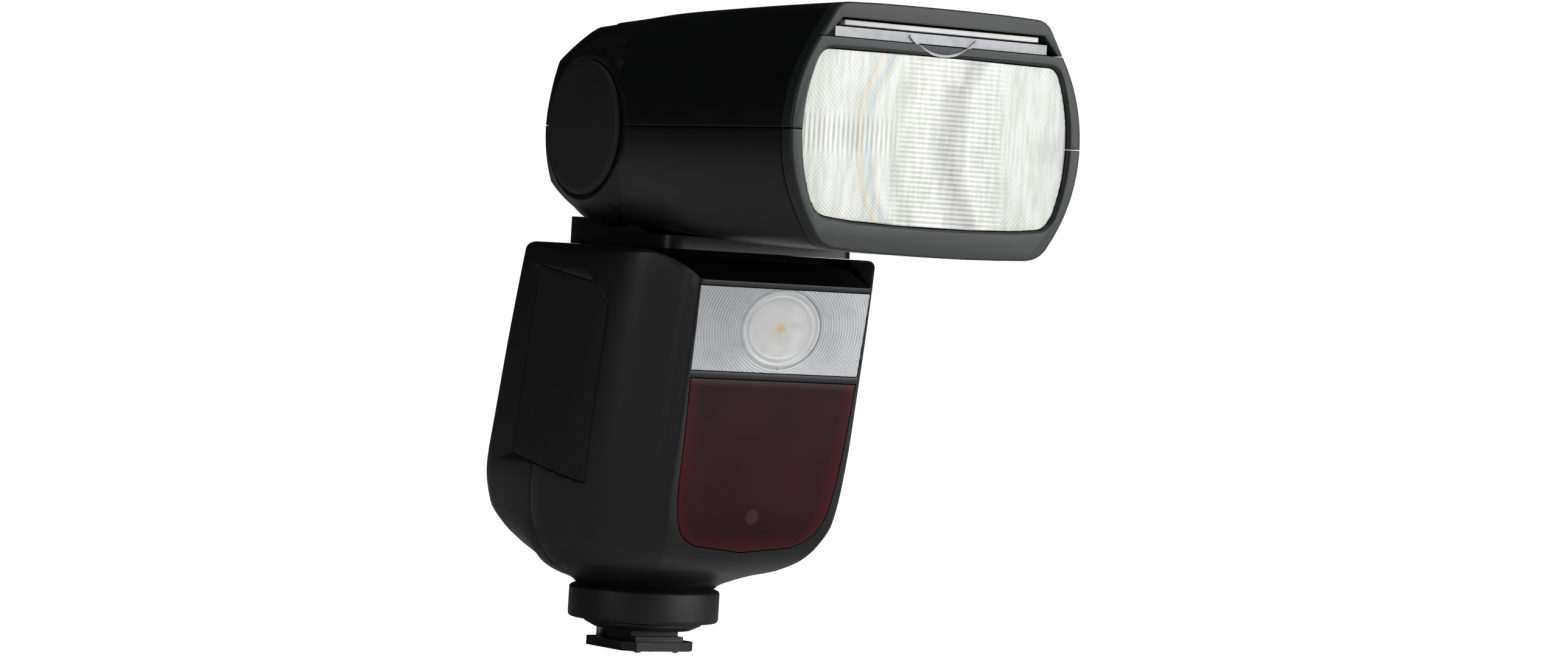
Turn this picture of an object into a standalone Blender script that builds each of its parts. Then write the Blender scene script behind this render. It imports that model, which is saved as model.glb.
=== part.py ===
"""Speedlight flash with a tilting, swivelling head on a hot-shoe foot.

Millimetres are used for every dimension and turned into metres when a mesh is made.
The origin is the centre of the foot's bottom face. +Z is up, the flash fires towards -Y,
and -X is the side with the cover over the sockets.
"""

import math

import bmesh
import bpy
from mathutils import Matrix, Vector

MM = 0.001

# Gaps
GAP = 0.35                      # between fixed pieces that meet
RUN = 0.1                       # radial clearance of a turning fit
WALL = 2.2                      # moulded shell

# Body
BODY_TOP = 88.5
REAR_LEAN = 0.229               # forward drift of the rear face for each mm of height
REAR_AT_39 = 17.4               # y of the rear face at a height of 39 mm
REAR_CORNER = 7.0
# height, half width, front y, rear y, roundness of the rear, roundness of the front
BODY_LEVELS = (
    (14.0, 15.4, -15.4, 15.3, 1.00, 1.00),
    (15.0, 16.6, -16.6, 16.4, 1.00, 1.00),
    (16.3, 20.6, -18.8, 16.1, 1.00, 1.00),
    (17.8, 24.0, -23.8, 15.9, 1.00, 0.80),
    (19.7, 27.0, -31.0, 16.1, 0.95, 0.50),
    (22.7, 29.8, -36.0, 16.5, 0.60, 0.20),
    (26.0, 32.0, -38.8, 17.1, 0.30, 0.10),
    (31.0, 33.9, -41.0, 17.9, 0.08, 0.00),
    (39.0, 35.0, -42.9, 17.4, 0.00, 0.00),
    (49.0, 35.2, -44.9, 15.1, 0.00, 0.00),
    (63.0, 35.2, -46.97, 11.9, 0.00, 0.00),
    (81.0, 34.9, -49.62, 7.78, 0.00, 0.00),
    (88.5, 34.6, -50.73, 6.07, 0.00, 0.00),
)
# height of a cavity section, and the height of the outer section that it follows
CAVITY_LEVELS = ((22.5, 19.7), (26.0, 22.7), (31.0, 27.5), (39.0, 39.0), (63.0, 63.0), (86.0, 86.0))
# y, z round the space inside, which keeps a wall under the rolled top
UNDER_ROLL = (
    (60.0, 10.0), (60.0, 86.0), (-34.0, 86.0), (-42.0, 84.0),
    (-46.0, 82.2), (-50.5, 79.9), (-60.0, 79.0), (-60.0, 10.0),
)
ROLL_DROP = 6.3                 # fall of the top's roll at the front
SPLIT_Y = -5.0                  # y of the parting plane at a height of 30 mm
SPLIT_LEAN = 0.18

# Windows in the front
LED_TOP, LED_BOTTOM = 81.2, 63.3
LED_HALF_TOP, LED_HALF_BOTTOM = 21.6, 21.2
RED_TOP = 61.5
RED_OUTLINE = (
    (21.1, 61.5), (20.5, 50.0), (19.8, 38.0), (18.9, 32.5),
    (16.9, 28.4), (13.0, 25.8), (7.0, 24.6), (0.0, 24.3),
)
WINDOW_WALL = 2.0
RING_CENTRE = 72.8

# Foot, lock and collar
FOOT_HALF, FOOT_LENGTH, FOOT_THICK = 9.3, 18.0, 2.0
POST_R, POST_TOP = 7.6, 18.0
COLLAR_R, COLLAR_BOTTOM, COLLAR_TOP = 16.7, 6.4, 13.6
LEVER_REST = 62.0               # where the lever points when unlocked, in degrees from +X
LEVER_FROM, LEVER_TO = 40.0, 144.0     # its slot in the collar

# Head joint
PIVOT_Y, PIVOT_Z = -18.3, 113.4
BARREL_R, BARREL_HALF = 17.6, 21.2
NECK_HALF, NECK_FRONT, NECK_REAR = 24.2, -40.0, 3.1
NECK_BOTTOM, NECK_TOP = 88.9, 94.4
SPINDLE_R, AXLE_R = 13.0, 5.0
CAP_R, CAP_X, CAP_BACK = 14.5, 34.5, 33.5
BOSS_X, BOSS_SLOPE = 33.7, 5.2  # reach of the round boss that the cap sits in, and of its sloping edge
CHEEK_X, BACK_R = 24.6, 20.4    # inner side of the cheeks, and the head's reach between them
SIDES = (("left", -1), ("right", 1))

# Head
HEAD_FRONT = -102.0
HEAD_REAR_R = 20.4
HEAD_HALF, HEAD_ABOVE, HEAD_BELOW = 36.3, 26.6, 24.2   # half width, and the reach from the seam
SEAM_Z = 113.8
BEZEL_BACK = -98.4
SIDE_R = 34.0                   # radius of the barrel-shaped sides
LENS_WALL = 3.0
SLOT_BOTTOM, SLOT_TOP = 132.9, 136.6
ZOOM_SCREW_Z = 98.2
GUIDE_X = 14.0

TURN = math.tau
parts = bpy.data.collections.new("speedlight_flash")
cutters = bpy.data.collections.new("cutters")


def clear_scene():
    for old in list(bpy.data.objects):
        bpy.data.objects.remove(old, do_unlink=True)
    bpy.context.scene.collection.children.link(parts)
    bpy.context.scene.collection.children.link(cutters)


def material(name, colour, roughness, metallic=0.0, clear=0.0):
    made = bpy.data.materials.new(name)
    made.use_nodes = True
    shader = made.node_tree.nodes["Principled BSDF"]
    shader.inputs["Base Color"].default_value = (*colour, 1.0)
    shader.inputs["Roughness"].default_value = roughness
    shader.inputs["Metallic"].default_value = metallic
    shader.inputs["Transmission Weight"].default_value = clear
    return made


def make(name, bm, finish=None):
    """An object from a bmesh in millimetres. With a finish it is a part, without one it is a cutter."""
    bmesh.ops.scale(bm, vec=(MM, MM, MM), verts=bm.verts)
    bmesh.ops.recalc_face_normals(bm, faces=bm.faces)
    mesh = bpy.data.meshes.new(name)
    bm.to_mesh(mesh)
    bm.free()
    made = bpy.data.objects.new(name, mesh)
    if finish:
        mesh.materials.append(finish)
        mesh.shade_smooth()
        mesh.set_sharp_from_angle(angle=math.radians(32))
        parts.objects.link(made)
    else:
        made.hide_render = True
        made.display_type = "WIRE"
        cutters.objects.link(made)
    return made


def boolean(obj, other, operation):
    step = obj.modifiers.new(other.name, "BOOLEAN")
    step.operation = operation
    step.object = other
    return obj


def cut(obj, *others):
    for other in others:
        boolean(obj, other, "DIFFERENCE")
    return obj


def join(obj, *others):
    for other in others:
        boolean(obj, other, "UNION")
    return obj


def keep(obj, *others):
    for other in others:
        boolean(obj, other, "INTERSECT")
    return obj


def centre_on(obj, point):
    """Moves the origin to a point in millimetres and leaves the shape where it is."""
    place = Vector(point) * MM
    obj.data.transform(Matrix.Translation(-place))
    obj.location = place
    return obj


def box(name, low, high, finish=None, bevel=0.0, segments=2):
    bm = bmesh.new()
    bmesh.ops.create_cube(bm, size=1.0)
    size = Vector(high) - Vector(low)
    bmesh.ops.scale(bm, vec=size, verts=bm.verts)
    bmesh.ops.translate(bm, vec=Vector(low) + size / 2, verts=bm.verts)
    if bevel:
        bmesh.ops.bevel(bm, geom=bm.edges[:], offset=bevel, segments=segments, profile=0.5, affect="EDGES")
    return make(name, bm, finish)


def rod(name, start, end, radius, finish=None, sides=32, end_radius=None):
    """A cylinder or cone between two points."""
    a, b = Vector(start), Vector(end)
    bm = bmesh.new()
    top = radius if end_radius is None else end_radius
    length = (b - a).length
    bmesh.ops.create_cone(bm, cap_ends=True, segments=sides, radius1=radius, radius2=top, depth=length)
    turn = Vector((0, 0, 1)).rotation_difference(b - a).to_matrix().to_4x4()
    bmesh.ops.transform(bm, matrix=Matrix.Translation((a + b) / 2) @ turn, verts=bm.verts)
    return make(name, bm, finish)


def turned(name, profile, finish=None, sides=48, closed=False):
    """A (radius, height) profile turned about Z: outer side first, from top to bottom."""
    mesh = bpy.data.meshes.new(name)
    points = [(r * MM, 0, z * MM) for r, z in profile]
    edges = [(i, i + 1) for i in range(len(points) - 1)]
    if closed:
        edges.append((len(points) - 1, 0))
    mesh.from_pydata(points, edges, [])
    made = bpy.data.objects.new(name, mesh)
    screw = made.modifiers.new("turn", "SCREW")
    screw.steps = screw.render_steps = sides
    screw.use_merge_vertices = True
    screw.merge_threshold = 0.00001
    if finish:
        mesh.materials.append(finish)
        parts.objects.link(made)
    else:
        made.hide_render = True
        made.display_type = "WIRE"
        cutters.objects.link(made)
    return made


def loft(name, sections, finish=None):
    """A closed skin through sections with equal numbers of points, capped at both ends."""
    bm = bmesh.new()
    rings = [[bm.verts.new(point) for point in section] for section in sections]
    count = len(rings[0])
    for lower, upper in zip(rings, rings[1:]):
        for i in range(count):
            j = (i + 1) % count
            bm.faces.new((lower[i], lower[j], upper[j], upper[i]))
    bm.faces.new(reversed(rings[0]))
    bm.faces.new(rings[-1])
    return make(name, bm, finish)


def prism(name, outline, axis, low, high, finish=None):
    """An outline, as pairs of the two other axes in XYZ order, pushed out along one axis."""
    place = "XYZ".index(axis)
    sections = [[(*pair[:place], level, *pair[place:]) for pair in outline] for level in (low, high)]
    return loft(name, sections, finish)


def mirrored(half):
    """A closed outline from its right half; points on the line of symmetry are used once."""
    return list(half) + [(-x, y) for x, y in reversed(half) if x > 0.001]


def rounded(outline, radius, steps=4):
    """A closed outline with each corner turned into an arc; a corner may carry its own radius."""
    result = []
    count = len(outline)
    for i, corner in enumerate(outline):
        here = Vector(corner[:2])
        r = corner[2] if len(corner) > 2 else radius
        if not r:
            result.append(tuple(here))
            continue
        back = (Vector(outline[i - 1][:2]) - here).normalized()
        ahead = (Vector(outline[(i + 1) % count][:2]) - here).normalized()
        half = math.acos(max(-1.0, min(1.0, back.dot(ahead)))) / 2
        reach = r / math.tan(half)
        centre = here + (back + ahead).normalized() * (r / math.sin(half))
        first, last = here + back * reach - centre, here + ahead * reach - centre
        sweep = math.atan2(first.cross(last), first.dot(last))
        for k in range(steps + 1):
            angle = sweep * k / steps
            turned_by = Matrix.Rotation(angle, 2)
            result.append(tuple(centre + turned_by @ first))
    return result


def grown(outline, amount):
    """A convex outline moved outward by an amount."""
    count = len(outline)
    area = sum(a[0] * b[1] - b[0] * a[1] for a, b in zip(outline, outline[1:] + outline[:1]))
    side = 1 if area > 0 else -1
    result = []
    for i, corner in enumerate(outline):
        here = Vector(corner[:2])
        back = (here - Vector(outline[i - 1][:2])).normalized()
        ahead = (Vector(outline[(i + 1) % count][:2]) - here).normalized()
        normal = Vector((back.y + ahead.y, -back.x - ahead.x)) * side
        normal.normalize()
        share = max(0.35, normal.dot(Vector((back.y, -back.x)) * side))
        result.append((*(here + normal * (amount / share)), *corner[2:]))
    return result


def between(table, level):
    """The row of a table at a level, with straight steps between its rows."""
    if level <= table[0][0]:
        return table[0][1:]
    for low, high in zip(table, table[1:]):
        if level <= high[0]:
            share = (level - low[0]) / (high[0] - low[0])
            return tuple(a + (b - a) * share for a, b in zip(low[1:], high[1:]))
    return table[-1][1:]


def body_section(height, inset=0.0):
    """The body's outline at a height: a flat front, flanks that sweep back, a squarer rear."""
    width, front, rear, rear_round, front_round = between(BODY_LEVELS, height)
    width -= inset
    front += inset
    rear -= inset
    k, d = width / 35.0, (rear - front) / 61.0
    start = Vector((28.6 * k, front + 10.1 * d))
    pull = Vector((32.9 * k, front + 15.8 * d))
    end = Vector((33.9 * k, front + 24.0 * d))
    half = [(9.0 * k, front), (21.9 * k, front), (23.6 * k, front + 3.4 * d)]
    for i in range(5):
        t = i / 4
        half.append(tuple(start * (1 - t) ** 2 + pull * 2 * t * (1 - t) + end * t * t))
    half.append((width, front + 42.0 * d))
    corner = REAR_CORNER * k
    for i in range(5):
        angle = TURN / 4 * i / 4
        half.append((width - corner + corner * math.cos(angle), rear - corner + corner * math.sin(angle)))
    half.append(((width - corner) / 3, rear))
    result = []
    for x, y in mirrored(half):
        reach = rear if y > 0 else -front
        angle = math.atan2(y / reach, x / width)
        share = rear_round if y > 0 else front_round
        oval = (width * math.cos(angle), reach * math.sin(angle))
        result.append((x + (oval[0] - x) * share, y + (oval[1] - y) * share, height))
    return result


def body_solid(name, inset=0.0, finish=None):
    if not inset:
        return loft(name, [body_section(row[0]) for row in BODY_LEVELS], finish)
    sections = []
    for z, source in CAVITY_LEVELS:
        sections.append([(x, y, z) for x, y, _ in body_section(source, inset)])
    return loft(name, sections, finish)


def split_y(height):
    return SPLIT_Y - (height - 30.0) * SPLIT_LEAN


def rear_y(height):
    return REAR_AT_39 - (height - 39.0) * REAR_LEAN


def on_rear(obj, x, height, depth=0.0):
    """Places a piece, made lying on the XY plane with +Z outward, on the sloping rear face."""
    lean = math.atan(REAR_LEAN)
    normal = Vector((0, math.cos(lean), math.sin(lean)))
    obj.location = (Vector((x, rear_y(height), height)) - normal * depth) * MM
    obj.rotation_euler = (lean - TURN / 4, 0, 0)
    return obj


def half_space(name, forward):
    """A slab in front of the body's parting plane, or behind it."""
    reach = -90.0 if forward else 60.0
    shift = -GAP / 2 if forward else GAP / 2
    low, high = 0.0, 110.0
    outline = [(split_y(low) + shift, low), (split_y(high) + shift, high), (reach, high), (reach, low)]
    return prism(name, outline, "X", -60.0, 60.0)


# ---------------------------------------------------------------- body shells

# y, z of each corner
PORT_OUTLINE = [(-30.9, 75.5), (-25.9, 80.5), (-5.6, 83.4), (0.9, 42.3), (-24.9, 37.6)]
BATTERY_OUTLINE = [(-29.5, 79.0), (-3.6, 80.0), (1.4, 39.5), (-24.0, 37.5)]


def led_outline(grow=0.0):
    half = [(0.0, LED_BOTTOM), (LED_HALF_BOTTOM, LED_BOTTOM), (LED_HALF_TOP, LED_TOP), (0.0, LED_TOP)]
    return grown(mirrored(half), grow)


def red_outline(grow=0.0):
    half = [(0.0, RED_TOP)] + list(RED_OUTLINE)
    return grown(mirrored(half), grow)


def shoulder_cutter(name, half, dip):
    """What is taken off the top at the front: the top rolls down to the upper window."""
    steps = 6
    curve = []
    for i in range(steps + 1):
        t = i / steps
        curve.append((-36.5 - 13.7 * t, BODY_TOP - dip - (ROLL_DROP - dip) * t * t))
    start = (-36.3 + dip * 2, BODY_TOP + 5.0)
    outline = [start] + curve + [(-60.0, curve[-1][1] - 0.5), (-60.0, BODY_TOP + 5.0)]
    return prism(name, outline, "X", -half, half)


def body_shells(black):
    top_roll = shoulder_cutter("cut_top_roll", 60.0, 0.02)
    scoop = shoulder_cutter("cut_scoop", 21.3, 1.4)
    cavity = keep(body_solid("cut_cavity", WALL), prism("keep_under_roll", UNDER_ROLL, "X", -60, 60))
    post_hole = rod("cut_post_hole", (0, 0, 10), (0, 0, 30), POST_R + GAP, sides=32)
    swivel_hole = rod("cut_swivel_hole", (0, PIVOT_Y, 80), (0, PIVOT_Y, 95), SPINDLE_R + RUN, sides=64)
    led_hole = prism("cut_led_hole", led_outline(GAP - 0.1), "Y", -60, -30)
    red_hole = prism("cut_red_hole", red_outline(GAP - 0.1), "Y", -60, -30)
    port_hole = prism("cut_port_hole", rounded(grown(PORT_OUTLINE, GAP), 1.0, 3), "X", -40, -27)
    battery_hole = prism("cut_battery_hole", rounded(grown(BATTERY_OUTLINE, GAP), 1.0, 3), "X", 20, 40)
    latch_hole = box("cut_latch_hole", (20, -17.4, 27.7), (40, -8.6, 33.1))

    front = body_solid("front_shell", finish=black)
    keep(front, half_space("keep_front", True))
    cut(front, cavity, top_roll, scoop, post_hole, swivel_hole, led_hole, red_hole, port_hole, battery_hole,
        latch_hole)
    rear = body_solid("rear_shell", finish=black)
    keep(rear, half_space("keep_rear", False))
    cut(rear, cavity, post_hole, swivel_hole, port_hole, battery_hole)
    return rear


def front_windows(clear, red, yellow, dark):
    led = prism("led_window", led_outline(), "Y", -60, -30, clear)
    keep(led, body_solid("keep_led_front"))
    cut(led, body_solid_inset("cut_led_back", WINDOW_WALL))
    red_window = prism("sensor_window", red_outline(), "Y", -60, -30, red)
    keep(red_window, body_solid("keep_red_front"))
    cut(red_window, body_solid_inset("cut_red_back", WINDOW_WALL))
    rod("led_emitter", (0, -41.0, RING_CENTRE), (0, -44.0, RING_CENTRE), 8.2, yellow, sides=32)
    rod("light_sensor", (0, -38.1, 32.2), (0, -35.3, 32.2), 2.6, dark, sides=24)


def body_solid_inset(name, inset):
    """The whole outer form moved in by an amount, for what sits in the thickness of the wall."""
    return loft(name, [body_section(row[0], inset) for row in BODY_LEVELS[4:]])


# ---------------------------------------------------------------- side cover, sockets and battery

def side_pieces(black, rubber, metal, dark):
    cover = prism("port_cover", rounded(PORT_OUTLINE, 1.0, 3), "X", -40, -20, rubber)
    keep(cover, body_solid("keep_cover"))
    cut(cover, body_solid_inset("cut_cover", WALL))

    panel = prism("port_panel", rounded(grown(PORT_OUTLINE, 2.0), 2.0, 2), "X", -31.6, -28.0, dark)
    keep(panel, body_solid_inset("keep_panel", 3.2))
    usb_y, sync_y, z = -20.0, -9.5, 62.0
    face, back = -31.6, -24.0
    cut(panel, box("cut_usb", (-36, usb_y - 4.8, z - 1.9), (-26, usb_y + 4.8, z + 1.9)))
    cut(panel, rod("cut_sync", (-36, sync_y, z), (-26, sync_y, z), 3.0 + GAP, sides=24))
    usb = box("usb_socket", (face, usb_y - 4.5, z - 1.6), (back, usb_y + 4.5, z + 1.6), metal, 0.3, 1)
    cut(usb, box("cut_usb_mouth", (-33.0, usb_y - 4.0, z - 1.1), (-25.5, usb_y + 4.0, z + 1.1)))
    sync = rod("sync_socket", (face, sync_y, z), (back, sync_y, z), 3.0, dark, sides=24)
    cut(sync, rod("cut_sync_mouth", (-33.0, sync_y, z), (-25.5, sync_y, z), 1.8, sides=24))

    tray = prism("battery_tray", rounded(grown(BATTERY_OUTLINE, 1.8), 1.5, 2), "X", 10.0, 31.8, dark)
    cut(tray, prism("cut_tray", rounded(grown(BATTERY_OUTLINE, GAP), 1.0, 2), "X", 11.6, 40.0))
    keep(tray, body_solid_inset("keep_tray", 3.2))
    cut(tray, box("cut_tray_latch", (20, -17.4, 27.7), (40, -8.6, 39.2)))
    battery = prism("battery_pack", rounded(BATTERY_OUTLINE, 1.0, 3), "X", 12.2, 40, black)
    keep(battery, body_solid("keep_battery"))
    cut(battery, box("cut_latch_notch", (10.0, -15.4, 33.0), (30.4, -10.6, 40.4)))
    latch = box("battery_latch", (29.6, -17.0, 29.6), (34.6, -9.0, 32.7), black, 0.5)
    join(latch, box("join_latch", (26.8, -15.0, 29.9), (30.0, -11.0, 39.7)))


# ---------------------------------------------------------------- rear controls

def rectangle(left, right, low, high):
    return [(left, low), (right, low), (right, high), (left, high)]


def capsule(half_x, half_y, radius, steps=3):
    return rounded(rectangle(-half_x, half_x, -half_y, half_y), radius, steps)


BUTTONS = (
    # name, x, height, half width, half height
    ("function_button_1", -17.4, 56.2, 4.4, 1.7),
    ("function_button_2", -5.8, 56.2, 4.4, 1.7),
    ("function_button_3", 5.8, 56.2, 4.4, 1.7),
    ("function_button_4", 17.4, 56.2, 4.4, 1.7),
    ("mode_button", -20.4, 48.0, 4.6, 2.4),
    ("sync_button", 20.4, 48.0, 4.6, 2.4),
)
DIAL_Z, DIAL_R, DIAL_HOLE = 44.5, 9.4, 4.6
TEST_X, TEST_Z = -20.4, 40.2
SWITCH_X, SWITCH_Z, SWITCH_TRAVEL = 18.2, 40.2, 4.6
SCREEN_Z = 72.0


def rear_controls(rear, rubber, glass, grey, red):
    for name, x, height, half_x, half_y in BUTTONS:
        hole = prism("cut_" + name, capsule(half_x + GAP, half_y + GAP, 1.6), "Z", -8, 8)
        cut(rear, on_rear(hole, x, height))
        button = prism(name, capsule(half_x, half_y, 1.3), "Z", -3.6, 1.1, rubber)
        on_rear(button, x, height)

    well = DIAL_R + 0.5
    profile = [(0, 6), (well, 6), (well, -1.0), (3.4, -1.0), (3.4, -8), (0, -8)]
    seat = turned("cut_dial_seat", profile, sides=40)
    cut(rear, on_rear(seat, 0, DIAL_Z))
    profile = [(DIAL_R - 0.7, 2.9), (DIAL_R, 2.2), (DIAL_R, -0.6), (DIAL_HOLE, -0.6), (DIAL_HOLE, 2.9)]
    dial = turned("control_dial", profile, grey, sides=40, closed=True)
    on_rear(dial, 0, DIAL_Z)
    profile = [(0, 3.4), (3.6, 3.3), (4.1, 2.7), (4.1, 0.6), (2.9, 0.6), (2.9, -4.6), (0, -4.6)]
    button = turned("set_button", profile, rubber, sides=24)
    on_rear(button, 0, DIAL_Z)

    cut(rear, on_rear(rod("cut_test", (0, 0, -8), (0, 0, 8), 3.2 + GAP, sides=24), TEST_X, TEST_Z))
    test = turned("test_button", [(0, 1.0), (2.7, 0.9), (3.2, 0.5), (3.2, -3.6), (0, -3.6)], red, sides=24)
    on_rear(test, TEST_X, TEST_Z)

    run = rectangle(-2.9, 2.9 + SWITCH_TRAVEL, -1.7, 1.7)
    slot = prism("cut_switch", rounded(run, 1.0, 3), "Z", -8, 8)
    cut(rear, on_rear(slot, SWITCH_X, SWITCH_Z))
    switch = prism("power_switch", capsule(2.5, 1.35, 0.7), "Z", -3.4, 1.6, grey)
    on_rear(switch, SWITCH_X, SWITCH_Z)

    opening = prism("cut_screen", capsule(23.0, 12.4, 2.0), "Z", -8, 8)
    cut(rear, on_rear(opening, 0, SCREEN_Z))
    window = prism("screen_window", capsule(22.65, 12.05, 1.7), "Z", -1.7, -0.1, glass)
    on_rear(window, 0, SCREEN_Z)
    screen = prism("screen_module", capsule(22.0, 11.4, 1.0), "Z", -4.6, -2.1, grey)
    on_rear(screen, 0, SCREEN_Z)


def body_electronics(green, dark):
    board = prism("main_board", capsule(24.0, 23.0, 1.5, 2), "Z", -7.0, -5.4, green)
    on_rear(board, -2.0, 60.0)
    rod("flash_capacitor", (-14.5, -27.0, 34.0), (-14.5, -27.0, 72.0), 9.0, dark, sides=32)


# ---------------------------------------------------------------- foot, lock and collar

PINS = ((0.0, -3.6, 1.7), (-4.9, -6.3, 0.9), (4.9, -6.3, 0.9), (-4.9, -1.6, 0.9), (4.9, -1.6, 0.9))
FOOT_SCREWS = ((-6.3, 2.6), (6.3, 2.6), (-2.6, 6.6), (5.6, 6.6))
LOCK_PIN = (-6.4, 7.0)


def foot_pieces(dark, gold, steel):
    half, front, rear = FOOT_HALF, -FOOT_LENGTH / 2, FOOT_LENGTH / 2
    outline = [(-half, front + 2.5), (-half + 2.5, front), (half - 2.5, front), (half, front + 2.5),
               (half, rear - 0.8), (half - 0.8, rear), (-half + 0.8, rear), (-half, rear - 0.8)]
    foot = prism("foot_plate", outline, "Z", 0.0, FOOT_THICK, dark)
    join(foot, box("join_step", (-6.2, -7.4, 1.0), (6.2, 6.6, 3.1)))
    join(foot, box("join_neck", (-6.1, -5.3, 1.1), (6.1, 5.9, 5.2)))
    post = [(0, POST_TOP), (POST_R, POST_TOP), (POST_R, 6.05)]
    flange = [(13.0, 6.05), (13.0, 5.6), (10.8, 4.5), (0, 4.5)]
    join(foot, turned("join_post", post + flange, sides=32))
    for i, (x, y, r) in enumerate(PINS, 1):
        cut(foot, rod(f"cut_pin_{i}", (x, y, -1), (x, y, 1.6), r + 0.25, sides=12))
        profile = [(0, 1.2), (r, 1.2), (r, -0.1), (r * 0.55, -0.5), (0, -0.5)]
        pin = turned(f"contact_pin_{i}", profile, gold, sides=12)
        pin.location = (x * MM, y * MM, 0)
    for i, (x, y) in enumerate(FOOT_SCREWS, 1):
        cut(foot, rod(f"cut_foot_screw_{i}", (x, y, -1), (x, y, 1.4), 1.15, sides=12))
        screw = rod(f"foot_screw_{i}", (x, y, 0.15), (x, y, 1.1), 0.9, steel, sides=12)
        cut(screw, box(f"cut_drive_{i}", (x - 0.55, y - 0.16, -0.2), (x + 0.55, y + 0.16, 0.55)))
    x, y = LOCK_PIN
    cut(foot, rod("cut_lock_pin", (x, y, -1), (x, y, 9), 1.1, sides=24))
    rod("lock_pin", (x, y, 0.1), (x, y, 8.2), 1.0, steel, sides=24)


def collar_and_lever(dark):
    edge, floor, bore, inside = 0.8, 8.3, 8.0, 14.5
    rim = [(COLLAR_R - edge, COLLAR_TOP), (COLLAR_R, COLLAR_TOP - edge), (COLLAR_R, COLLAR_BOTTOM + edge)]
    rim.append((COLLAR_R - edge, COLLAR_BOTTOM))
    well = [(bore, COLLAR_BOTTOM), (bore, floor), (inside, floor), (inside, COLLAR_TOP)]
    collar = turned("collar", rim + well, dark, closed=True, sides=48)
    steps = 8
    arc = [math.radians(LEVER_FROM + (LEVER_TO - LEVER_FROM) * i / steps) for i in range(steps + 1)]
    outline = [(30 * math.cos(a), 30 * math.sin(a)) for a in arc]
    outline += [(12 * math.cos(a), 12 * math.sin(a)) for a in reversed(arc)]
    cut(collar, prism("cut_lever_slot", outline, "Z", 9.1, 12.3))
    cut(collar, rod("cut_collar_pin", (*LOCK_PIN, 0), (*LOCK_PIN, 9.0), 1.3, sides=24))
    ring = [(13.9, 12.0), (13.9, 9.4), (bore, 9.4), (bore, 12.0)]
    lever = turned("lock_lever", ring, dark, closed=True, sides=32)
    turn = Matrix.Rotation(math.radians(LEVER_REST), 2)
    tab = [tuple(turn @ Vector(point)) for point in rounded(rectangle(12.6, 21.2, -4.2, 4.2), 1.2, 3)]
    join(lever, prism("join_tab", tab, "Z", 9.5, 11.9))


# ---------------------------------------------------------------- neck

def saddle_profile():
    """The neck block's side view: flat in front, then hollowed round the tilt axis."""
    reach = HEAD_REAR_R + 0.5
    profile = [(60.0, 80.0), (60.0, 130.0), (PIVOT_Y + reach, 130.0)]
    for i in range(13):
        angle = math.radians(-108 * i / 12)
        profile.append((PIVOT_Y + reach * math.cos(angle), PIVOT_Z + reach * math.sin(angle)))
    return profile + [(-33.0, 91.3), (-60.0, 91.3), (-60.0, 80.0)]


def neck_pieces(black, steel):
    footprint = rounded(rectangle(-NECK_HALF, NECK_HALF, NECK_FRONT, NECK_REAR), 4.0, 4)
    base = prism("neck", footprint, "Z", NECK_BOTTOM, NECK_TOP, black)
    keep(base, prism("keep_saddle", saddle_profile(), "X", -60, 60))
    half, depth = BARREL_HALF, 12.0
    stem = rounded(rectangle(-half, half, PIVOT_Y - depth, PIVOT_Y + depth), 2.0, 2)
    join(base, prism("join_stem", stem, "Z", 90.5, PIVOT_Z))
    barrel_end = half - 0.01
    join(base, rod("join_barrel", (-barrel_end, PIVOT_Y, PIVOT_Z), (barrel_end, PIVOT_Y, PIVOT_Z), BARREL_R,
                   sides=48))
    join(base, rod("join_spindle", (0, PIVOT_Y, 82.4), (0, PIVOT_Y, 90.0), SPINDLE_R, sides=64))
    cut(base, rod("cut_spindle", (0, PIVOT_Y, 75), (0, PIVOT_Y, 104), 7.5, sides=32))
    cut(base, rod("cut_axle", (-30, PIVOT_Y, PIVOT_Z), (30, PIVOT_Y, PIVOT_Z), AXLE_R + RUN, sides=48))
    profile = [(17.5, 84.9), (17.5, 83.2), (13.35, 83.2), (13.35, 84.9)]
    ring = turned("swivel_retainer", profile, steel, closed=True, sides=48)
    ring.location = (0, PIVOT_Y * MM, 0)
    axle = rod("tilt_axle", (-31.0, PIVOT_Y, PIVOT_Z), (31.0, PIVOT_Y, PIVOT_Z), AXLE_R, steel, sides=48)
    cut(axle, rod("cut_axle_bore", (-40, PIVOT_Y, PIVOT_Z), (40, PIVOT_Y, PIVOT_Z), 3.8, sides=32))


# ---------------------------------------------------------------- head

def head_outline(shrink_x=1.0, shrink_top=1.0, shrink_bottom=1.0, inset=0.0):
    """The head seen from the front: straight top, barrel sides, gently bowed bottom."""
    middle = HEAD_HALF - SIDE_R
    top_angle, bottom_angle = math.radians(32.8), math.radians(-36.0)
    side = []
    for i in range(9):
        angle = bottom_angle + (top_angle - bottom_angle) * i / 8
        side.append((middle + SIDE_R * math.cos(angle), SEAM_Z + SIDE_R * math.sin(angle)))
    top = [(25.6, 139.2), (24.6, 140.0), (9.0, 140.35)]
    bottom = [(8.0, 89.7), (17.0, 89.95), (24.0, 90.4), (27.2, 91.6)]
    result = []
    for x, z in mirrored(bottom + side + top):
        scale = shrink_top if z > SEAM_Z else shrink_bottom
        x, dz = x * shrink_x, (z - SEAM_Z) * scale
        height = HEAD_ABOVE if dz > 0 else HEAD_BELOW
        result.append((x - inset * x / HEAD_HALF, SEAM_Z + dz - inset * dz / height))
    return result


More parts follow.
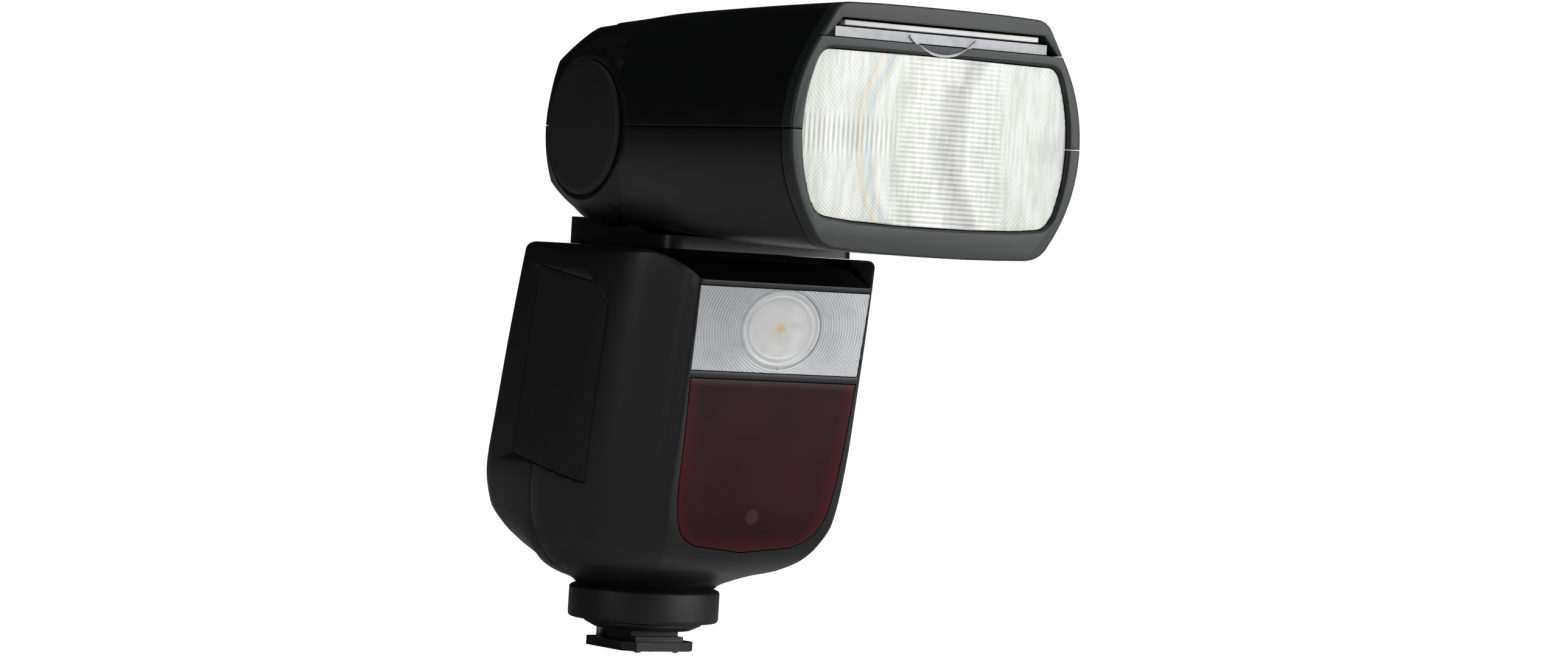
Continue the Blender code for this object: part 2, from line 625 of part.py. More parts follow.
def lens_outline(grow=0.0):
    """The opening for the lens, 66 mm wide at its middle."""
    half = [(0.0, 95.7), (15.0, 96.0), (26.5, 96.9), (28.9, 98.9)]
    for i in range(5):
        angle = math.radians(-24 + 47 * i / 4)
        half.append((32.9 - 38.0 + 38.0 * math.cos(angle), 113.9 + 38.0 * math.sin(angle)))
    half += [(29.0, 129.4), (27.2, 130.1), (14.0, 130.4), (0.0, 130.5)]
    return grown(mirrored(half), grow)


def slot_outline(grow=0.0):
    """The mouth of the drawer that holds the wide panel and the white card."""
    return grown(mirrored([(0.0, SLOT_BOTTOM), (28.6, SLOT_BOTTOM), (25.1, SLOT_TOP), (0.0, SLOT_TOP)]), grow)


HEAD_LEVELS = (
    # y, width, height above the seam, height below the seam
    (HEAD_FRONT, 0.975, 0.97, 0.97),
    (HEAD_FRONT + 1.2, 1.0, 1.0, 1.0),
    (-80.0, 0.996, 0.985, 0.99),
    (-60.0, 0.988, 0.965, 0.97),
    (-40.0, 0.975, 0.94, 0.907),
    (-24.0, 0.955, 0.90, 0.895),
    (3.5, 0.925, 0.84, 0.89),
)


def head_solid(name, finish):
    sections = []
    for y, width, above, below in HEAD_LEVELS:
        sections.append([(x, y, z) for x, z in head_outline(width, above, below)])
    return loft(name, sections, finish)


def head_profile(name):
    """The head's side view, with its rear rounded about the tilt axis and fuller at the top."""
    arc = []
    for i in range(8):
        angle = math.radians(18 - 126 * i / 7)
        arc.append((PIVOT_Y + HEAD_REAR_R * math.cos(angle), PIVOT_Z + HEAD_REAR_R * math.sin(angle)))
    top = [(-110.0, 145.0), (-24.0, 145.0), (-13.5, 138.0), (-7.6, 135.8),
           (-3.2, 132.6), (-0.2, 129.0), (1.3, 124.6)]
    bottom = [(-33.0, 91.6), (-46.0, 85.0), (-110.0, 85.0)]
    return prism(name, top + arc + bottom, "X", -60, 60)


def between_cheeks():
    """What is left out between the two cheeks, so that the head clears the neck when it is tilted back."""
    arc = []
    for i in range(10):
        angle = math.radians(80 * i / 9)
        arc.append((PIVOT_Y + BACK_R * math.cos(angle), PIVOT_Z + BACK_R * math.sin(angle)))
    profile = arc + [(-10.0, 160.0), (30.0, 160.0), (30.0, PIVOT_Z)]
    return prism("cut_between_cheeks", profile, "X", -CHEEK_X, CHEEK_X)


def head_cavity(name):
    """The space inside the head, in front of the neck."""
    sections = []
    for y, width, above, below in ((-99.0, 1.0, 1.0, 1.0), (-80.0, 0.996, 0.985, 0.99),
                                   (-60.0, 0.988, 0.965, 0.97), (-43.0, 0.977, 0.943, 0.93)):
        sections.append([(x, y, z) for x, z in head_outline(width, above, below, WALL)])
    return loft(name, sections)


def head_shells(black):
    """Upper and lower halves, meeting on the seam, with a fork round the neck."""
    fork = BARREL_HALF + 0.5
    room = [
        box("cut_bezel_room", (-60, -120, 60), (60, BEZEL_BACK + GAP, SLOT_BOTTOM)),
        prism("cut_slot", slot_outline(GAP), "Y", -120, BEZEL_BACK + GAP),
        head_cavity("cut_inside"),
        between_cheeks(),
        rod("cut_barrel_room", (-fork, PIVOT_Y, PIVOT_Z), (fork, PIVOT_Y, PIVOT_Z), BARREL_R + 0.8, sides=48),
        rod("cut_head_axle", (-31.2, PIVOT_Y, PIVOT_Z), (31.2, PIVOT_Y, PIVOT_Z), AXLE_R + 0.15, sides=48),
    ]
    stem = [(PIVOT_Y, PIVOT_Z)]
    for i in range(9):
        angle = math.radians(-131 + 203 * i / 8)
        stem.append((PIVOT_Y + 40 * math.cos(angle), PIVOT_Z + 40 * math.sin(angle)))
    room.append(prism("cut_stem_room", stem, "X", -fork, fork))
    bosses = []
    for side, sign in SIDES:
        def on_axis(name, inner, outer, radius, sides, end_radius=None):
            start, end = (sign * inner, PIVOT_Y, PIVOT_Z), (sign * outer, PIVOT_Y, PIVOT_Z)
            return rod(f"{name}_{side}", start, end, radius, sides=sides, end_radius=end_radius)
        room.append(on_axis("cut_cap", CAP_BACK - 0.3, 45.0, CAP_R + GAP, 64))
        room.append(on_axis("cut_cheek", 24.2, 31.0, 16.6, 40))
        bosses.append(on_axis("join_boss", 24.0, BOSS_X - BOSS_SLOPE, HEAD_REAR_R, 60))
        edge = HEAD_REAR_R - BOSS_SLOPE
        bosses.append(on_axis("join_boss_edge", BOSS_X - BOSS_SLOPE, BOSS_X, HEAD_REAR_R, 60, edge))
    for name, low, high in (("head_upper_shell", SEAM_Z + GAP / 2, 170.0),
                            ("head_lower_shell", 60.0, SEAM_Z - GAP / 2)):
        shell = head_solid(name, black)
        keep(shell, head_profile("keep_profile_" + name))
        join(shell, *bosses)
        keep(shell, box("keep_" + name, (-60, -120, low), (60, 20, high)))
        cut(shell, *room)


def bezel(black):
    opening = prism("cut_lens_opening", lens_outline(GAP), "Y", -110, -90)
    for name, low, high in (("bezel_upper", SEAM_Z + GAP / 2, SLOT_BOTTOM - GAP),
                            ("bezel_lower", 60, SEAM_Z - GAP / 2)):
        ring = head_solid(name, black)
        keep(ring, box("keep_" + name, (-60, -120, low), (60, BEZEL_BACK, high)))
        cut(ring, opening)


def head_optics(clear, white, dark):
    lens = []
    for y, grow in ((HEAD_FRONT + 0.9, -1.4), (HEAD_FRONT + 1.4, -0.3), (HEAD_FRONT + 2.0, 0.0),
                    (HEAD_FRONT + 1.0 + LENS_WALL, 0.0)):
        lens.append([(x, y, z) for x, z in lens_outline(grow)])
    loft("lens", lens, clear)

    panel = prism("wide_panel", slot_outline(), "Y", HEAD_FRONT + 0.6, BEZEL_BACK - 0.2, clear)
    join(panel, box("join_panel", (-24.4, -99.0, 133.0), (24.4, -50.0, 134.3)))
    cut(panel, box("cut_panel_top", (-24.7, -110, 135.0), (24.7, -95, 140)))
    card = box("bounce_card", (-24.3, HEAD_FRONT + 0.8, 135.35), (24.3, BEZEL_BACK - 0.3, 136.4), white)
    join(card, box("join_card", (-21.6, -100.0, 135.4), (21.6, -47.0, 136.2)))
    box("drawer_tray", (-26.2, -97.6, 131.2), (26.2, -44.0, 132.4), dark)


def zoom_unit(chrome, glass, dark, steel):
    """Reflector and tube on a carriage, driven by a screw and kept straight by a rod."""
    middle = PIVOT_Z + 0.4
    outer, inner = [], []
    for i in range(9):
        t = -1 + 2 * i / 8
        outer.append((-68.0 - 17.0 * t * t, middle + 12.6 * t))
        inner.append((-69.2 - 15.8 * t * t, middle + 11.4 * t))
    trough = prism("reflector", outer + list(reversed(inner)), "X", -24.0, 24.0, chrome)
    for side, x in (("left", -24.0), ("right", 22.8)):
        join(trough, prism("join_end_" + side, outer, "X", x, x + 1.2))
    rod("flash_tube", (-22.2, -73.8, middle), (22.2, -73.8, middle), 2.2, glass, sides=20)
    carriage = box("zoom_carriage", (-22.0, -67.4, middle - 9.0), (22.0, -64.8, middle + 9.0), dark, 0.5, 1)
    x, height = GUIDE_X, ZOOM_SCREW_Z
    join(carriage, box("join_nut", (-4.0, -67.2, height - 3.4), (4.0, -62.0, 105.6)))
    join(carriage, box("join_guide", (x - 3.0, -67.2, height - 3.0), (x + 3.0, -62.0, 105.6)))
    cut(carriage, rod("cut_nut", (0, -80, height), (0, -50, height), 1.6 + 0.3, sides=24))
    cut(carriage, rod("cut_guide", (x, -80, height), (x, -50, height), 1.2 + 0.15, sides=24))
    rod("zoom_screw", (0, -88.0, height), (0, -51.2, height), 1.6, steel, sides=24)
    rod("guide_rod", (x, -90.0, height), (x, -43.6, height), 1.2, steel, sides=24)
    box("zoom_motor", (-5.5, -50.6, 93.8), (5.5, -43.6, 103.0), steel, 1.2, 2)


def caps(dark):
    profile = [(0, CAP_X), (CAP_R - 1.0, CAP_X), (CAP_R, CAP_X - 0.8), (CAP_R, CAP_BACK), (0, CAP_BACK)]
    for side, sign in SIDES:
        cap = turned("pivot_cap_" + side, profile, dark, sides=48)
        cap.location = (0, PIVOT_Y * MM, PIVOT_Z * MM)
        cap.rotation_euler = (0, sign * TURN / 4, 0)


def place_origins():
    """Puts the origin of each moving piece on the axis of its joint."""
    tilt = (0, PIVOT_Y, PIVOT_Z)
    screw = (0, -64.8, ZOOM_SCREW_Z)
    origins = {
        "neck": (0, PIVOT_Y, BODY_TOP),
        "port_cover": (-35.2, -2.3, 62.6),
        "battery_pack": (35.0, -13.9, 59.0),
        "battery_latch": (34.6, -13.0, 31.0),
        "lock_pin": (*LOCK_PIN, 0),
        "wide_panel": (0, HEAD_FRONT, 133.6),
        "bounce_card": (0, HEAD_FRONT, 135.8),
        "zoom_screw": screw,
        "zoom_carriage": screw,
        "reflector": screw,
        "flash_tube": screw,
    }
    for name in ("tilt_axle", "head_upper_shell", "head_lower_shell", "bezel_upper", "bezel_lower", "lens",
                 "drawer_tray", "guide_rod", "zoom_motor"):
        origins[name] = tilt
    for name, point in origins.items():
        centre_on(parts.objects[name], point)


def build():
    clear_scene()
    black = material("shell_black", (0.012, 0.013, 0.014), 0.42)
    matte = material("matte_black", (0.016, 0.017, 0.018), 0.6)
    rubber = material("rubber_black", (0.02, 0.02, 0.021), 0.7)
    clear = material("clear_lens", (0.85, 0.9, 0.88), 0.08, 0.0, 0.8)
    red = material("red_window", (0.09, 0.008, 0.014), 0.12, 0.0, 0.3)
    glass = material("glass", (0.75, 0.78, 0.8), 0.05, 0.0, 0.8)
    white = material("white_card", (0.82, 0.82, 0.8), 0.5)
    grey = material("grey_plastic", (0.12, 0.125, 0.13), 0.45)
    chrome = material("bright_reflector", (0.85, 0.86, 0.87), 0.12, 1.0)
    steel = material("steel", (0.55, 0.56, 0.57), 0.3, 1.0)
    gold = material("contact_gold", (0.83, 0.55, 0.28), 0.28, 1.0)
    yellow = material("led_yellow", (0.8, 0.6, 0.2), 0.5)
    green = material("board_green", (0.02, 0.14, 0.07), 0.5)

    rear = body_shells(black)
    front_windows(clear, red, yellow, matte)
    side_pieces(black, rubber, steel, matte)
    rear_controls(rear, rubber, glass, grey, red)
    body_electronics(green, matte)
    foot_pieces(matte, gold, steel)
    collar_and_lever(matte)
    neck_pieces(black, steel)
    head_shells(black)
    bezel(black)
    head_optics(clear, white, matte)
    zoom_unit(chrome, glass, matte, steel)
    caps(matte)
    place_origins()


build()
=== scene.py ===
"""Looks of the speedlight flash: finely made shells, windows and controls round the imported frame.

Shapes are made in millimetres in the frame's own axes, +Z up and the flash firing towards -Y,
and turned into metres when a mesh is made.
"""

import math

import bmesh
import bpy
import numpy as np
from mathutils import Matrix, Vector


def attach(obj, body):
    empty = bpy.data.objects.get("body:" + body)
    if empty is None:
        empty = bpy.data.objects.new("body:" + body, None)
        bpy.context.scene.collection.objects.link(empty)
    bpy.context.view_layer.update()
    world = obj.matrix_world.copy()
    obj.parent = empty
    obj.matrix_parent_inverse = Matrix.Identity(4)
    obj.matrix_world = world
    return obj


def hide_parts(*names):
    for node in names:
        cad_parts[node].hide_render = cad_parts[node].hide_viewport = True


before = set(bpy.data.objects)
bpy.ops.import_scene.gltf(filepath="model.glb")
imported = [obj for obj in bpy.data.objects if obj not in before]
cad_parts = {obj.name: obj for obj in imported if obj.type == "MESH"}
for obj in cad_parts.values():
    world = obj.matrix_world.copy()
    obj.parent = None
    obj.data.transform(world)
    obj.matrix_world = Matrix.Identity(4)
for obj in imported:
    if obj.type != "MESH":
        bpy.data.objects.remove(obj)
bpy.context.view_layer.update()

MM = 0.001
TURN = math.tau
GAP = 0.22                      # seam between fixed pieces
WALL = 2.2

# height, half width, front y, rear y, roundness of the rear, roundness of the front
BODY_LEVELS = (
    (14.0, 15.4, -15.4, 15.3, 1.00, 1.00),
    (15.0, 16.6, -16.6, 16.4, 1.00, 1.00),
    (16.3, 20.6, -18.8, 16.1, 1.00, 1.00),
    (17.8, 24.0, -23.8, 15.9, 1.00, 0.80),
    (19.7, 27.0, -31.0, 16.1, 0.95, 0.50),
    (22.7, 29.8, -36.0, 16.5, 0.60, 0.20),
    (26.0, 32.0, -38.8, 17.1, 0.30, 0.10),
    (31.0, 33.9, -41.0, 17.9, 0.08, 0.00),
    (39.0, 35.0, -42.9, 17.4, 0.00, 0.00),
    (49.0, 35.2, -44.9, 15.1, 0.00, 0.00),
    (63.0, 35.2, -46.97, 11.9, 0.00, 0.00),
    (81.0, 34.9, -49.62, 7.78, 0.00, 0.00),
    (88.5, 34.6, -50.73, 6.07, 0.00, 0.00),
)
CAVITY_LEVELS = ((22.5, 19.7), (26.0, 22.7), (31.0, 27.5), (39.0, 39.0), (63.0, 63.0), (86.0, 86.0))
BODY_TOP = 88.5
REAR_LEAN, REAR_AT_39 = 0.229, 17.4
SPLIT_Y, SPLIT_LEAN = -5.0, 0.18
# y, z round the space inside, which keeps a wall under the rolled top
UNDER_ROLL = (
    (60.0, 10.0), (60.0, 86.0), (-34.0, 86.0), (-42.0, 84.0),
    (-46.0, 82.2), (-50.5, 79.9), (-60.0, 79.0), (-60.0, 10.0),
)
ROLL_DROP = 6.3                 # fall of the top's roll at the front
LEVER_REST = 62.0               # where the lock lever points, in degrees from +X

LED_TOP, LED_BOTTOM = 81.2, 63.3
LED_HALF_TOP, LED_HALF_BOTTOM = 21.6, 21.2
RING_Z = 72.8                   # centre of the lamp's rings
RED_TOP = 61.5
RED_OUTLINE = (
    (21.1, 61.5), (20.5, 50.0), (19.8, 38.0), (18.9, 32.5),
    (16.9, 28.4), (13.0, 25.8), (7.0, 24.6), (0.0, 24.3),
)
SENSOR_Z, SENSOR_R = 32.1, 1.6

PIVOT_Y, PIVOT_Z = PIVOT = -18.3, 113.4
BARREL_R, BARREL_HALF = 17.6, 21.2
CAP_R, CAP_X, CAP_BACK = 14.5, 34.5, 33.5
SIDES = (("left", -1), ("right", 1))

HEAD_FRONT, BEZEL_BACK = -102.0, -98.4
HEAD_HALF, HEAD_ABOVE, HEAD_BELOW = 36.3, 26.6, 24.2
SEAM_Z, SIDE_R, HEAD_REAR_R = 113.8, 34.0, 20.4
CHEEK_X, BACK_R = 24.6, 20.4    # inner side of the cheeks, and the head's reach between them
BOSS_R = 20.13                  # round swelling that the cap sits in
SLOT_BOTTOM, SLOT_TOP = 132.9, 136.6
# y, width, height above the seam, height below the seam
HEAD_LEVELS = (
    (-102.0, 1.0, 1.0, 1.0),
    (-80.0, 0.996, 0.985, 0.99),
    (-60.0, 0.988, 0.965, 0.97),
    (-40.0, 0.975, 0.94, 0.907),
    (-24.0, 0.955, 0.90, 0.895),
    (3.5, 0.925, 0.84, 0.89),
)

PATCHES = 0.12                  # how far a plastic's slow patches stray from its colour
RINGS_X, RINGS_Z = 9.5, 7.9     # reach of the lamp's bold ring
NECK_HALF, NECK_FRONT, NECK_REAR = 24.2, -40.0, 3.1
LOCK_PIN_AT = (-6.4, 7.0)
# x, y, radius
PINS = ((0.0, -3.6, 1.7), (-4.9, -6.3, 0.9), (4.9, -6.3, 0.9), (-4.9, -1.6, 0.9), (4.9, -1.6, 0.9))
SCREWS = ((-6.3, 2.6), (6.3, 2.6), (-2.6, 6.6), (5.6, 6.6))

cutters = []


# ---------------------------------------------------------------- mesh tools

def make(name, bm, smooth=34):
    bmesh.ops.scale(bm, vec=(MM, MM, MM), verts=bm.verts)
    bmesh.ops.recalc_face_normals(bm, faces=bm.faces)
    mesh = bpy.data.meshes.new(name)
    bm.to_mesh(mesh)
    bm.free()
    mesh.shade_smooth()
    mesh.set_sharp_from_angle(angle=math.radians(smooth))
    made = bpy.data.objects.new(name, mesh)
    bpy.context.scene.collection.objects.link(made)
    return made


def bridge(bm, rings, closed=True):
    """Quads between neighbouring rings, or between the rows of an open grid."""
    count = len(rings[0])
    for a, b in zip(rings, rings[1:]):
        for i in range(count if closed else count - 1):
            j = (i + 1) % count
            bm.faces.new((a[i], a[j], b[j], b[i]))


def circle(radius, sides):
    return [(radius * math.cos(TURN * i / sides), radius * math.sin(TURN * i / sides)) for i in range(sides)]


def arc(middle, radius, first, last, steps):
    """Points on a circle from one angle to another, in degrees."""
    angles = [math.radians(first + (last - first) * i / steps) for i in range(steps + 1)]
    return [(middle[0] + radius * math.cos(a), middle[1] + radius * math.sin(a)) for a in angles]


def shares(steps):
    return [i / steps for i in range(steps + 1)]


def bend(first, corner, last, places):
    """Points of the smooth curve that leaves first towards a corner and turns to last."""
    return [tuple(first * (1 - t) ** 2 + corner * 2 * t * (1 - t) + last * t * t) for t in places]


def loft(name, sections, smooth=34):
    """A closed skin through sections with equal numbers of points, capped at both ends."""
    bm = bmesh.new()
    rings = [[bm.verts.new(point) for point in section] for section in sections]
    bridge(bm, rings)
    bm.faces.new(reversed(rings[0]))
    bm.faces.new(rings[-1])
    return make(name, bm, smooth)


def prism(name, outline, axis, low, high, smooth=34):
    """An outline, as pairs of the two other axes in XYZ order, pushed out along one axis."""
    place = "XYZ".index(axis)
    sections = [[(*pair[:place], level, *pair[place:]) for pair in outline] for level in (low, high)]
    return loft(name, sections, smooth)


def box(name, low, high, bevel=0.0):
    bm = bmesh.new()
    bmesh.ops.create_cube(bm, size=1.0)
    size = Vector(high) - Vector(low)
    bmesh.ops.scale(bm, vec=size, verts=bm.verts)
    bmesh.ops.translate(bm, vec=Vector(low) + size / 2, verts=bm.verts)
    if bevel:
        bmesh.ops.bevel(bm, geom=bm.edges[:], offset=bevel, segments=3, profile=0.5, affect="EDGES")
    return make(name, bm)


def turned(name, profile, axis_at=(0, 0, 0), lean=None, sides=96, smooth=34):
    """A closed (radius, height) profile turned about Z, then leaned and moved into place."""
    bm = bmesh.new()
    rings = []
    for radius, height in profile:
        if radius <= 0:
            rings.append([bm.verts.new((0, 0, height))])
            continue
        rings.append([bm.verts.new((x, y, height)) for x, y in circle(radius, sides)])
    pairs = list(zip(rings, rings[1:]))
    if len(rings[0]) > 1 and len(rings[-1]) > 1:
        pairs.append((rings[-1], rings[0]))
    for a, b in pairs:
        for i in range(sides):
            j = (i + 1) % sides
            corners = [a[i % len(a)], a[j % len(a)], b[j % len(b)], b[i % len(b)]]
            face = [v for k, v in enumerate(corners) if v not in corners[:k]]
            if len(face) > 2:
                bm.faces.new(face)
    if lean is not None:
        bmesh.ops.transform(bm, matrix=lean.to_4x4(), verts=bm.verts)
    bmesh.ops.translate(bm, vec=Vector(axis_at), verts=bm.verts)
    return make(name, bm, smooth)


def rod(name, start, end, radius, sides=64):
    a, b = Vector(start), Vector(end)
    lean = Vector((0, 0, 1)).rotation_difference(b - a).to_matrix()
    return turned(name, [(0, (b - a).length), (radius, (b - a).length), (radius, 0), (0, 0)], a, lean, sides)


def boolean(obj, others, operation):
    for other in others:
        step = obj.modifiers.new(other.name, "BOOLEAN")
        step.operation = operation
        step.object = other
        step.solver = "MANIFOLD"
        cutters.append(other)
    graph = bpy.context.evaluated_depsgraph_get()
    solved = bpy.data.meshes.new_from_object(obj.evaluated_get(graph))
    obj.modifiers.clear()
    obj.data = solved
    return obj


def cut(obj, *others):
    return boolean(obj, others, "DIFFERENCE")


def join(obj, *others):
    return boolean(obj, others, "UNION")


def keep(obj, *others):
    return boolean(obj, others, "INTERSECT")


def soften(obj, width, segments=2, angle=38):
    """Rounds the sharp edges by a width in millimetres."""
    step = obj.modifiers.new("soft_edges", "BEVEL")
    step.width = width * MM
    step.segments = segments
    step.limit_method = "ANGLE"
    step.angle_limit = math.radians(angle)
    step.miter_outer = "MITER_ARC"
    return obj


def mirrored(half):
    return list(half) + [(-x, y) for x, y in reversed(half) if x > 0.001]


def rounded(outline, radius, steps=6):
    """A closed outline with each corner turned into an arc; a corner may carry its own radius."""
    result = []
    count = len(outline)
    for i, corner in enumerate(outline):
        here = Vector(corner[:2])
        r = corner[2] if len(corner) > 2 else radius
        if not r:
            result.append(tuple(here))
            continue
        back = (Vector(outline[i - 1][:2]) - here).normalized()
        ahead = (Vector(outline[(i + 1) % count][:2]) - here).normalized()
        half = math.acos(max(-1.0, min(1.0, back.dot(ahead)))) / 2
        reach = r / math.tan(half)
        centre = here + (back + ahead).normalized() * (r / math.sin(half))
        first, last = here + back * reach - centre, here + ahead * reach - centre
        sweep = math.atan2(first.cross(last), first.dot(last))
        for k in range(steps + 1):
            result.append(tuple(centre + Matrix.Rotation(sweep * k / steps, 2) @ first))
    return result


def rectangle(left, right, front, back, radius, steps=6):
    return rounded([(left, front), (right, front), (right, back), (left, back)], radius, steps)


def grown(outline, amount):
    """A convex outline moved outward by an amount."""
    count = len(outline)
    area = sum(a[0] * b[1] - b[0] * a[1] for a, b in zip(outline, outline[1:] + outline[:1]))
    side = 1 if area > 0 else -1
    result = []
    for i, corner in enumerate(outline):
        here = Vector(corner[:2])
        back = (here - Vector(outline[i - 1][:2])).normalized()
        ahead = (Vector(outline[(i + 1) % count][:2]) - here).normalized()
        normal = Vector((back.y + ahead.y, -back.x - ahead.x)) * side
        normal.normalize()
        share = max(0.35, normal.dot(Vector((back.y, -back.x)) * side))
        result.append((*(here + normal * (amount / share)), *corner[2:]))
    return result


def eased(table, level):
    """The row of a table at a level, on a smooth monotone curve through its rows."""
    rows = np.array(table, float)
    x, y = rows[:, 0], rows[:, 1:]
    if level <= x[0]:
        return y[0]
    if level >= x[-1]:
        return y[-1]
    step = np.diff(x)[:, None]
    slope = np.diff(y, axis=0) / step
    tangent = np.zeros_like(y)
    tangent[0], tangent[-1] = slope[0], slope[-1]
    same = slope[:-1] * slope[1:] > 0
    product = 2 * slope[:-1] * slope[1:]
    tangent[1:-1] = np.where(same, product / np.where(same, slope[:-1] + slope[1:], 1), 0)
    i = int(np.clip(np.searchsorted(x, level) - 1, 0, len(x) - 2))
    h = x[i + 1] - x[i]
    t = (level - x[i]) / h
    return ((2 * t**3 - 3 * t**2 + 1) * y[i] + (t**3 - 2 * t**2 + t) * h * tangent[i]
            + (3 * t**2 - 2 * t**3) * y[i + 1] + (t**3 - t**2) * h * tangent[i + 1])


def spread(low, high, spacing):
    """Evenly spaced levels from low to high."""
    count = max(1, round((high - low) / spacing))
    return [low + (high - low) * i / count for i in range(count + 1)]


# ---------------------------------------------------------------- materials

def add(tree, kind, inputs=None, **settings):
    """A new shader node, with its inputs linked to sockets or set to values."""
    made = tree.nodes.new("ShaderNode" + kind)
    for key, value in settings.items():
        setattr(made, key, value)
    for key, value in (inputs or {}).items():
        if isinstance(value, bpy.types.NodeSocket):
            tree.links.new(value, made.inputs[key])
        else:
            made.inputs[key].default_value = value
    return made


def calc(tree, operation, a, b=0.0, c=0.0):
    return add(tree, "Math", {0: a, 1: b, 2: c}, operation=operation).outputs[0]


def product(tree, a, b):
    return calc(tree, "MULTIPLY", a, b)


def mix(tree, share, a, b, blend="MIX"):
    return add(tree, "Mix", {0: share, 6: a, 7: b}, data_type="RGBA", blend_type=blend).outputs[2]


def stretched(tree, place, scale):
    return add(tree, "Mapping", {"Vector": place, "Scale": scale}).outputs[0]


def remapped(tree, value, low, high):
    """A value's range from low to high, turned into 0 to 1."""
    return add(tree, "MapRange", {0: value, 1: low, 2: high}).outputs[0]


def distance(tree, a, b):
    return calc(tree, "SQRT", calc(tree, "ADD", product(tree, a, a), product(tree, b, b)))


def colour(tree, shader, tone):
    tree.links.new(tone, shader.inputs["Base Color"])


def ramp(tree, value, stops):
    made = add(tree, "ValToRGB", {0: value})
    elements = made.color_ramp.elements
    while len(elements) < len(stops):
        elements.new(0.5)
    for element, (place, colour) in zip(elements, stops):
        element.position = place
        element.color = (*colour, 1.0) if len(colour) == 3 else colour
    return made.outputs[0]


def grey(value):
    return (value, value, value)


def start(name, roughness, **sockets):
    """A new material, its tree, its shader and the object's coordinates in metres."""
    made = bpy.data.materials.new(name)
    made.use_nodes = True
    tree = made.node_tree
    shader = tree.nodes["Principled BSDF"]
    shader.inputs["Roughness"].default_value = roughness
    for key, value in sockets.items():
        shader.inputs[key.replace("_", " ")].default_value = value
    place = add(tree, "TexCoord").outputs["Object"]
    return made, tree, shader, place


def noise(tree, place, scale, detail=3.0, roughness=0.5):
    return add(tree, "TexNoise", {"Vector": place, "Scale": scale, "Detail": detail,
                                  "Roughness": roughness}).outputs[0]


def bump(tree, shader, height, distance, strength=1.0):
    made = add(tree, "Bump", {"Height": height, "Distance": distance, "Strength": strength})
    tree.links.new(made.outputs[0], shader.inputs["Normal"])


def plastic(name, base, roughness, grain=2600.0, depth=0.000012, edge=0.35, **sockets):
    """Moulded plastic: a fine spark-eroded grain, slow patches of polish, paler worn edges."""
    made, tree, shader, place = start(name, roughness, **sockets)
    fine = noise(tree, place, grain, 2.0)
    patches = noise(tree, place, 55.0, 4.0)
    tone = ramp(tree, patches, [(0.3, tuple(c * (1 - PATCHES) for c in base)),
                                (0.7, tuple(c * (1 + PATCHES) for c in base))])
    worn = ramp(tree, add(tree, "NewGeometry").outputs["Pointiness"], [(0.5, grey(0.0)), (0.62, grey(edge))])
    pale = tuple(min(1.0, c * 1.8 + 0.008) for c in base)
    colour(tree, shader, mix(tree, worn, tone, (*pale, 1.0)))
    polish = add(tree, "MapRange", {0: patches, 3: roughness - 0.05, 4: roughness + 0.06}).outputs[0]
    tree.links.new(polish, shader.inputs["Roughness"])
    bump(tree, shader, fine, depth)
    return made


def metal(name, base, roughness):
    """Brushed metal, its lines running along Z."""
    made, tree, shader, place = start(name, roughness, Metallic=1.0)
    lines = noise(tree, stretched(tree, place, (400.0, 400.0, 30.0)), 30.0)
    colour(tree, shader, ramp(tree, lines, [(0.3, tuple(c * 0.8 for c in base)), (0.7, base)]))
    tree.links.new(add(tree, "MapRange", {0: lines, 3: roughness * 0.8, 4: roughness * 1.3}).outputs[0],
                   shader.inputs["Roughness"])
    bump(tree, shader, lines, 0.000004)
    return made


def axes(tree, place):
    split = add(tree, "SeparateXYZ", {0: place})
    return split.outputs["X"], split.outputs["Z"]


